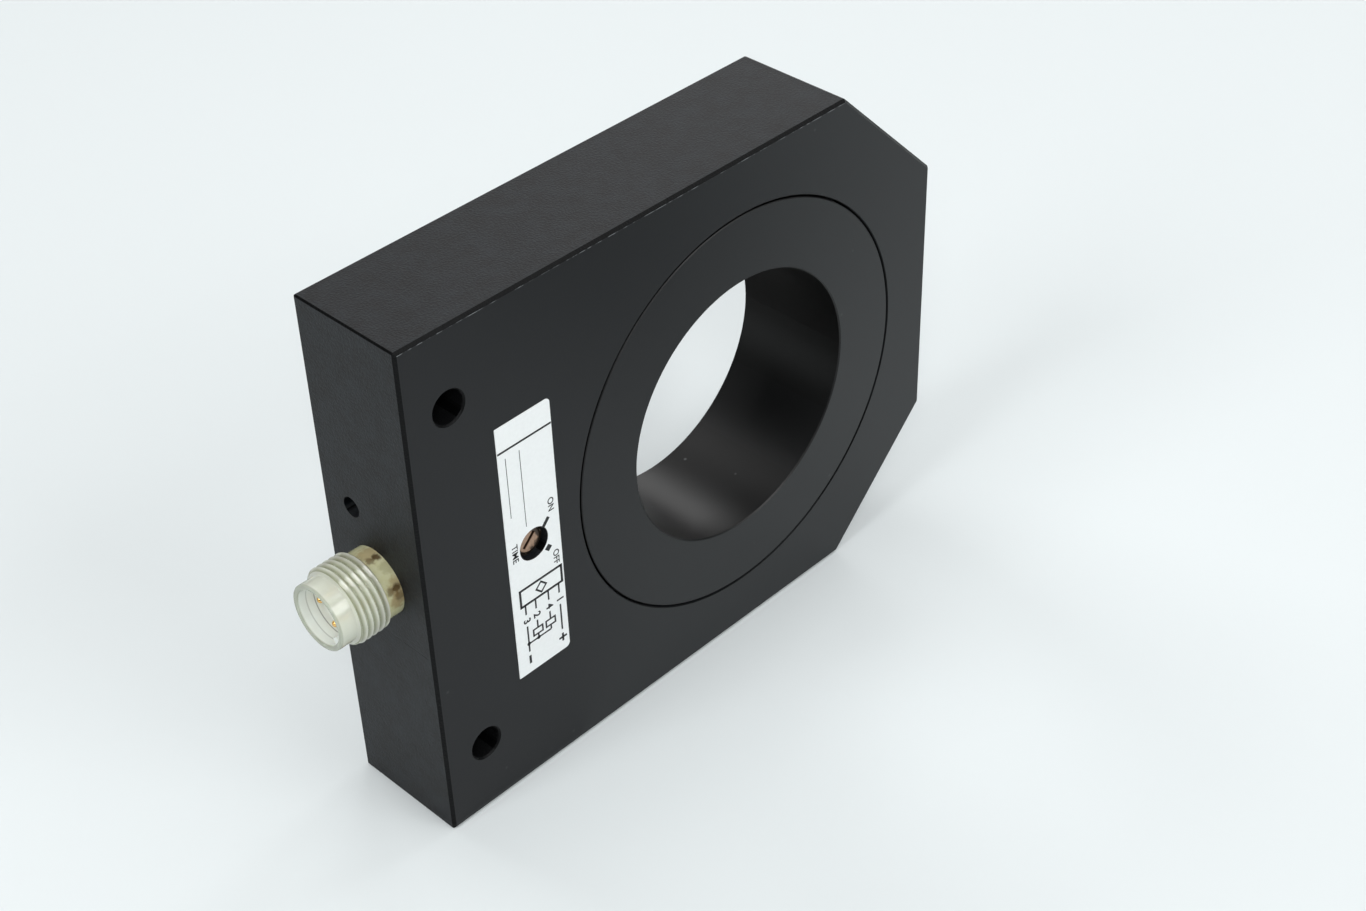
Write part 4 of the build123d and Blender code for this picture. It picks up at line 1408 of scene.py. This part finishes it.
    def print_mesh(self) -> bpy.types.Mesh:
        """Makes every printed mark.

        Returns:
            The mesh in the part's frame.
        """
        tree = stroke_tree(self.ink)
        places = dict(self.leads)
        edge = self.width / 2 - self.divider_inset
        rules = [[(x, self.rule_top), (x, bottom)] for x, bottom in self.rules]
        pieces = [
            self.strokes(tree, self.stroke, *self.wiring_paths()),
            self.strokes(tree, self.box_stroke, self.frame_path(self.box_low, self.box_high)),
            self.strokes(tree, self.divider_stroke, [(-edge, self.divider), (edge, self.divider)]),
            self.strokes(tree, self.rule_stroke, *rules),
        ]
        signs = (("1", 0.0, self.plus_width), ("1", 90.0, self.plus_width), ("3", 90.0, self.minus_width))
        for supply, angle, width in signs:
            pieces.append(self.bar(Bar(places[supply], self.sign_height, self.sign_size, angle, width)))
        pieces += [self.dot(places[joint], self.link_height) for joint in ("2", "3")]
        pieces += [self.word(word) for word in self.words]
        pieces += [self.bar(mark) for mark in self.dial_marks]
        for figure, x in self.leads:
            word = Word(figure, x, self.figure_height, self.figure_size, self.figure_boldness)
            pieces.append(self.word(word))
        return self.stood(joined(pieces), self.film_front_y - self.ink_thickness * MM / 2)


class Zone(IntEnum):
    """The zones of the plug's body, in the order of its materials."""

    CLEAR = 0
    NECK = 1
    SOCKET = 2


@dataclass
class Plug:
    """The clear plug: its threaded body with the socket and the key rib."""

    clear: bpy.types.Material
    milky: bpy.types.Material
    # the paler, less clear copy that paints light into the socket
    inside: bpy.types.Material
    neck_radius: float = 5.32 * MM
    neck_length: float = 2.6 * MM
    thread_length: float = 5.3 * MM
    nose_radius: float = 5.1 * MM
    seat_depth: float = 3.0 * MM
    spigot_radius: float = 4.2 * MM
    socket_radius: float = 4.25 * MM
    socket_depth: float = 7.6 * MM
    rim_round: float = 0.22 * MM
    mouth_round: float = 0.3 * MM
    pitch: float = 1.0 * MM
    thread_depth: float = 0.42 * MM
    key_height: float = 0.85 * MM
    key_width: float = 1.2 * MM
    key_setback: float = 0.6 * MM
    key_angle: float = math.radians(225)
    key_slope: float = 0.03 * MM
    edge_round: float = 0.1 * MM
    zone_margin: float = 0.02 * MM
    sharp_angle: float = math.radians(38)
    segments: int = 192
    arc_steps: int = 4
    close_rings: int = 20
    steps: ClassVar[tuple[Point, ...]] = ((1.5 * MM, 0.4), (2.8 * MM, 0.7), (4.3 * MM, 0.8))
    # the crest and root radii between which the thread's valleys get painted shade
    groove_shade_radii: ClassVar[Point] = (6.0 * MM, 5.56 * MM)
    rim_x: float = field(init=False)
    back_x: float = field(init=False)
    thread_radius: float = field(init=False)
    thread_back_x: float = field(init=False)
    thread_front_x: float = field(init=False)

    def __post_init__(self) -> None:
        """Reads the plug's place and the block's end from the frame."""
        low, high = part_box("plug_body")
        self.rim_x = low.x
        self.back_x = high.x
        self.thread_radius = high.y
        self.thread_back_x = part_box("housing")[0].x - self.neck_length
        self.thread_front_x = self.thread_back_x - self.thread_length

    @staticmethod
    def marks(end_x: float) -> tuple[GlueMark, ...]:
        """The glue marks under the neck.

        Args:
            end_x: where the end face of the block is.

        Returns:
            The marks.
        """
        dark = (0.10, 0.055, 0.02)
        tan = (0.5, 0.36, 0.16)
        olive = (0.5, 0.48, 0.26)
        drawn = (
            (1.2, 90, 1.9, tan, 0.6),
            (0.65, 103, 0.8, dark, 0.9),
            (1.8, 104, 0.8, dark, 0.6),
            (0.5, 125, 1.2, olive, 0.5),
            (0.6, 156, 1.7, tan, 0.6),
            (0.7, 158, 0.8, dark, 0.9),
            (1.8, 160, 0.8, dark, 0.55),
            (0.8, 178, 1.7, tan, 0.7),
            (0.5, 172, 0.9, dark, 0.5),
        )
        marks = []
        for depth, angle, radius, colour, strength in drawn:
            turn = math.radians(angle)
            across = (Plug.neck_radius * math.cos(turn), Plug.neck_radius * math.sin(turn))
            marks.append(GlueMark((end_x - depth * MM, *across), radius * MM, colour, strength))
        return tuple(marks)

    def build(self) -> None:
        """Makes the body."""
        mesh = baked(
            turned(self.outline(), self.segments, self.reach),
            thread_tree(self.clear),
            Start=self.thread_front_x,
            End=self.thread_back_x,
            Pitch=self.pitch,
            Crest_Radius=self.thread_radius,
            Depth=self.thread_depth,
        )
        mesh.shade_smooth()
        mesh.set_sharp_from_angle(angle=self.sharp_angle)
        piece = keep("plug_threaded_body", mesh, self.clear)
        piece.data.materials.append(self.milky)
        piece.data.materials.append(self.inside)
        for face in piece.data.polygons:
            face.material_index = self.zone(face.center)
        mount(piece, "plug_clear", "plug_body")

    def zone(self, place: Vector) -> Zone:
        """Finds the zone that a place is in.

        Args:
            place: the middle of a face.

        Returns:
            Its zone.
        """
        if math.hypot(place.y, place.z) < self.socket_radius + self.zone_margin:
            return Zone.SOCKET
        return Zone.NECK if place.x > self.thread_back_x else Zone.CLEAR

    def outline(self) -> list[Point]:
        """The turned outline, from the axis at the back round to the socket's floor.

        Returns:
            Its points of x and radius, with close rings at the thread.
        """
        seat_x = self.thread_back_x + self.neck_length + self.seat_depth
        floor_x = self.rim_x + self.socket_depth
        key_x = self.rim_x + self.key_setback
        back_taper = (self.thread_radius - self.neck_radius) / 2
        front_taper = (self.thread_radius - self.nose_radius) / 2
        corners = [
            (self.back_x, 0.0, 0.0),
            (self.back_x, self.spigot_radius, 0.0),
            (seat_x, self.spigot_radius, 0.0),
            (seat_x, self.neck_radius, 0.0),
            (self.thread_back_x, self.neck_radius, self.edge_round),
            (self.thread_back_x - back_taper, self.thread_radius, 0.0),
            (self.thread_front_x + front_taper, self.thread_radius, 0.0),
            (self.thread_front_x, self.nose_radius, self.edge_round),
            (self.rim_x, self.nose_radius, self.rim_round),
            (self.rim_x, self.socket_radius, self.mouth_round),
            (key_x, self.socket_radius, 0.0),
            (key_x + self.key_slope, self.socket_radius, 0.0),
            (floor_x, self.socket_radius, 0.0),
            (floor_x, 0.0, 0.0),
        ]
        points = rounded(corners, self.arc_steps)
        close: list[Point] = [points[0]]
        ring_gap = self.pitch / self.close_rings
        for near, far in zip(points, points[1:]):
            threaded = min(near[1], far[1]) > self.nose_radius and max(near[1], far[1]) > self.neck_radius
            steps = max(1, round(abs(far[0] - near[0]) / ring_gap)) if threaded else 1
            for step in range(1, steps + 1):
                share = step / steps
                close.append((near[0] + (far[0] - near[0]) * share, near[1] + (far[1] - near[1]) * share))
        return close

    def reach(self, x: float, radius: float, angle: float) -> float:
        """The radius at one place, which is smaller on the key rib inside the socket.

        Args:
            x: the place along the axis.
            radius: the outline's radius.
            angle: the angle about the axis.

        Returns:
            The radius to use.
        """
        on_wall = abs(radius - self.socket_radius) < SLACK
        in_socket = self.rim_x + self.key_setback + SLACK < x < self.back_x - self.mouth_round
        away = (angle - self.key_angle + math.pi) % math.tau - math.pi
        if on_wall and in_socket and abs(away) * radius <= self.key_width / 2:
            return radius - self.key_height
        return radius


# Stage


@dataclass(frozen=True)
class SoftBox:
    """One soft area light that points at the part."""

    name: str
    place: Place
    size: float
    power: float

    def build(self) -> None:
        """Adds the light."""
        light = bpy.data.lights.new(self.name, "AREA")
        light.shape = "SQUARE"
        light.size = self.size
        light.energy = self.power
        lamp = bpy.data.objects.new(self.name, light)
        lamp.location = self.place
        lamp.rotation_euler = (-Vector(self.place)).to_track_quat("-Z", "Y").to_euler()
        bpy.context.scene.collection.objects.link(lamp)


@dataclass(frozen=True)
class Card:
    """A flat card on the floor that only gloss shows, and that is darker to the right: it paints darker
    reflections of the floor's shade into the glossy faces.
    """

    name: str
    corners: tuple[Point, ...]
    pale: Colour
    dark: Colour = (0.03, 0.03, 0.03)
    fade: Point = (0.0, 0.08)
    roughness: float = 0.9

    def build(self, height: float) -> None:
        """Adds the card.

        Args:
            height: how high it lies.
        """
        mesh = bpy.data.meshes.new(self.name)
        mesh.from_pydata([(x, y, height) for x, y in self.corners], [], [(0, 1, 2, 3)])
        dye = Dye.start(self.name, Roughness=self.roughness)
        along = dye.ramp(dye.place_along("X"), *self.fade)
        dye.set("Base Color", dye.tint(along, self.pale, self.dark))
        card = keep(self.name, mesh, dye.material)
        # Hidden from the camera, from diffuse light, from shadows and from transmission, the card only
        # paints darker reflections.
        card.visible_camera = False
        card.visible_diffuse = False
        card.visible_shadow = False
        card.visible_transmission = False


@dataclass
class Studio:
    """A pale floor under the part, a pale backdrop, soft lights all round, and cards seen only in
    reflections that paint the floor's shade into them.
    """

    floor_z: float
    reach: float = 1.1
    backdrop: Colour = (0.80, 0.86, 0.88)
    # Dark sheets seen only in reflections: painted reflections of the floor's shade in front of the block
    # and behind it.
    dark_reflection_cards: tuple[Card, ...] = (
        Card(
            name="front_dark_reflection_card",
            corners=((-0.055, 0.002), (-0.555, -0.498), (-0.36, -0.622), (0.14, -0.122)),
            pale=(0.6, 0.63, 0.64),
        ),
        Card(
            name="back_dark_reflection_card",
            corners=((-0.062, 0.022), (0.06, 0.022), (0.06, 0.13), (-0.062, 0.13)),
            pale=(0.1, 0.1, 0.1),
        ),
    )
    floor: Colour = (0.714, 0.759, 0.768)
    floor_gloss: float = 0.2
    floor_roughness: float = 0.7
    floor_cloud: float = 3.0
    floor_tone: Point = (0.3, 0.7)
    boxes: tuple[SoftBox, ...] = (
        SoftBox("top_softbox", (0.0, 0.0, 1.0), 1.0, 3.35),
        SoftBox("left_softbox", (-1.0, 0.0, 0.75), 0.5, 5.8),
        SoftBox("front_softbox", (0.25, -1.0, 0.75), 0.6, 5.1),
        SoftBox("back_softbox", (0.0, 1.0, 0.75), 0.6, 3.7),
        SoftBox("right_softbox", (1.0, 0.0, 0.75), 0.6, 3.75),
        SoftBox("front_left_softbox", (-0.7, -0.7, 0.8), 0.34, 6.2),
        SoftBox("front_right_softbox", (0.7, -0.7, 0.7), 0.5, 1.2),
        SoftBox("low_right_softbox", (0.8, 0.75, 0.5), 0.5, 2.7),
    )

    def build(self) -> None:
        """Adds the floor, the backdrop and the lights."""
        signs = ((-1, -1), (1, -1), (1, 1), (-1, 1))
        corners = [(x * self.reach, y * self.reach, self.floor_z) for x, y in signs]
        mesh = bpy.data.meshes.new("floor")
        mesh.from_pydata(corners, [], [(0, 1, 2, 3)])
        dye = Dye.start("pale_floor", Specular_IOR_Level=self.floor_gloss, Roughness=self.floor_roughness)
        tone = dye.ramp(dye.noise(dye.place, self.floor_cloud), *self.floor_tone)
        dye.set("Base Color", dye.tint(tone, scaled(self.floor, 0.99), self.floor))
        keep("studio_floor", mesh, dye.material)
        self.build_backdrop()
        for card in self.dark_reflection_cards:
            card.build(self.floor_z + MM)
        bpy.context.scene.view_settings.view_transform = "Standard"
        for box in self.boxes:
            box.build()

    def build_backdrop(self) -> None:
        """A world that is pale to look at and gives no light of its own."""
        world = bpy.data.worlds.new("studio_backdrop")
        world.use_nodes = True
        wiring = Wiring(world.node_tree)
        background = world.node_tree.nodes["Background"]
        wiring.feed(background.inputs["Color"], self.backdrop)
        seen = wiring.add("ShaderNodeLightPath").outputs["Is Camera Ray"]
        wiring.feed(background.inputs["Strength"], seen)
        bpy.context.scene.world = world


@dataclass(frozen=True)
class PhotoCamera:
    """The camera at the photograph's viewing angle."""

    place: Place = (-0.19448, -0.19348, 0.20081)
    right: Place = (0.69572, -0.71784, -0.0261)
    up: Place = (0.45769, 0.415, 0.78632)
    focal_pixels: float = 2253.2
    frame_width_pixels: float = 1366.0
    sensor: float = 36.0
    clip: Point = (0.01, 20.0)

    def build(self) -> None:
        """Adds the camera and makes it the scene's own."""
        camera = bpy.data.cameras.new("photo_camera")
        camera.sensor_fit = "HORIZONTAL"
        camera.sensor_width = self.sensor
        camera.lens = self.focal_pixels / self.frame_width_pixels * self.sensor
        camera.clip_start, camera.clip_end = self.clip
        right = Vector(self.right).normalized()
        up = Vector(self.up).normalized()
        turn = Matrix((right, up, right.cross(up))).transposed().to_4x4()
        holder = bpy.data.objects.new("photo_camera", camera)
        holder.matrix_world = Matrix.Translation(self.place) @ turn
        bpy.context.scene.collection.objects.link(holder)
        bpy.context.scene.camera = holder


def main() -> None:
    """Builds the stage and dresses the sensor, sub-assembly by sub-assembly."""
    logging.basicConfig(level=logging.INFO, format="%(name)s: %(message)s")
    low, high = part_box("housing")
    PhotoCamera().build()
    Studio(floor_z=low.z).build()
    hole_x = low.x + MOUNTING_HOLE_FROM_END
    holes = tuple((hole_x, z, MOUNTING_HOLE_SHADE_REACH) for z in MOUNTING_HOLE_HEIGHTS)
    paint = Paint(end_x=low.x, front_y=low.y, top_z=high.z, holes=holes)
    paint.mix()
    paint.dress_nodes()
    Label(paint.made["label_film"], paint.made["label_ink"]).build()
    Plug(paint.made["plug_clear"], paint.made["plug_neck"], paint.made["plug_inside"]).build()


if __name__ == "__main__":
    main()
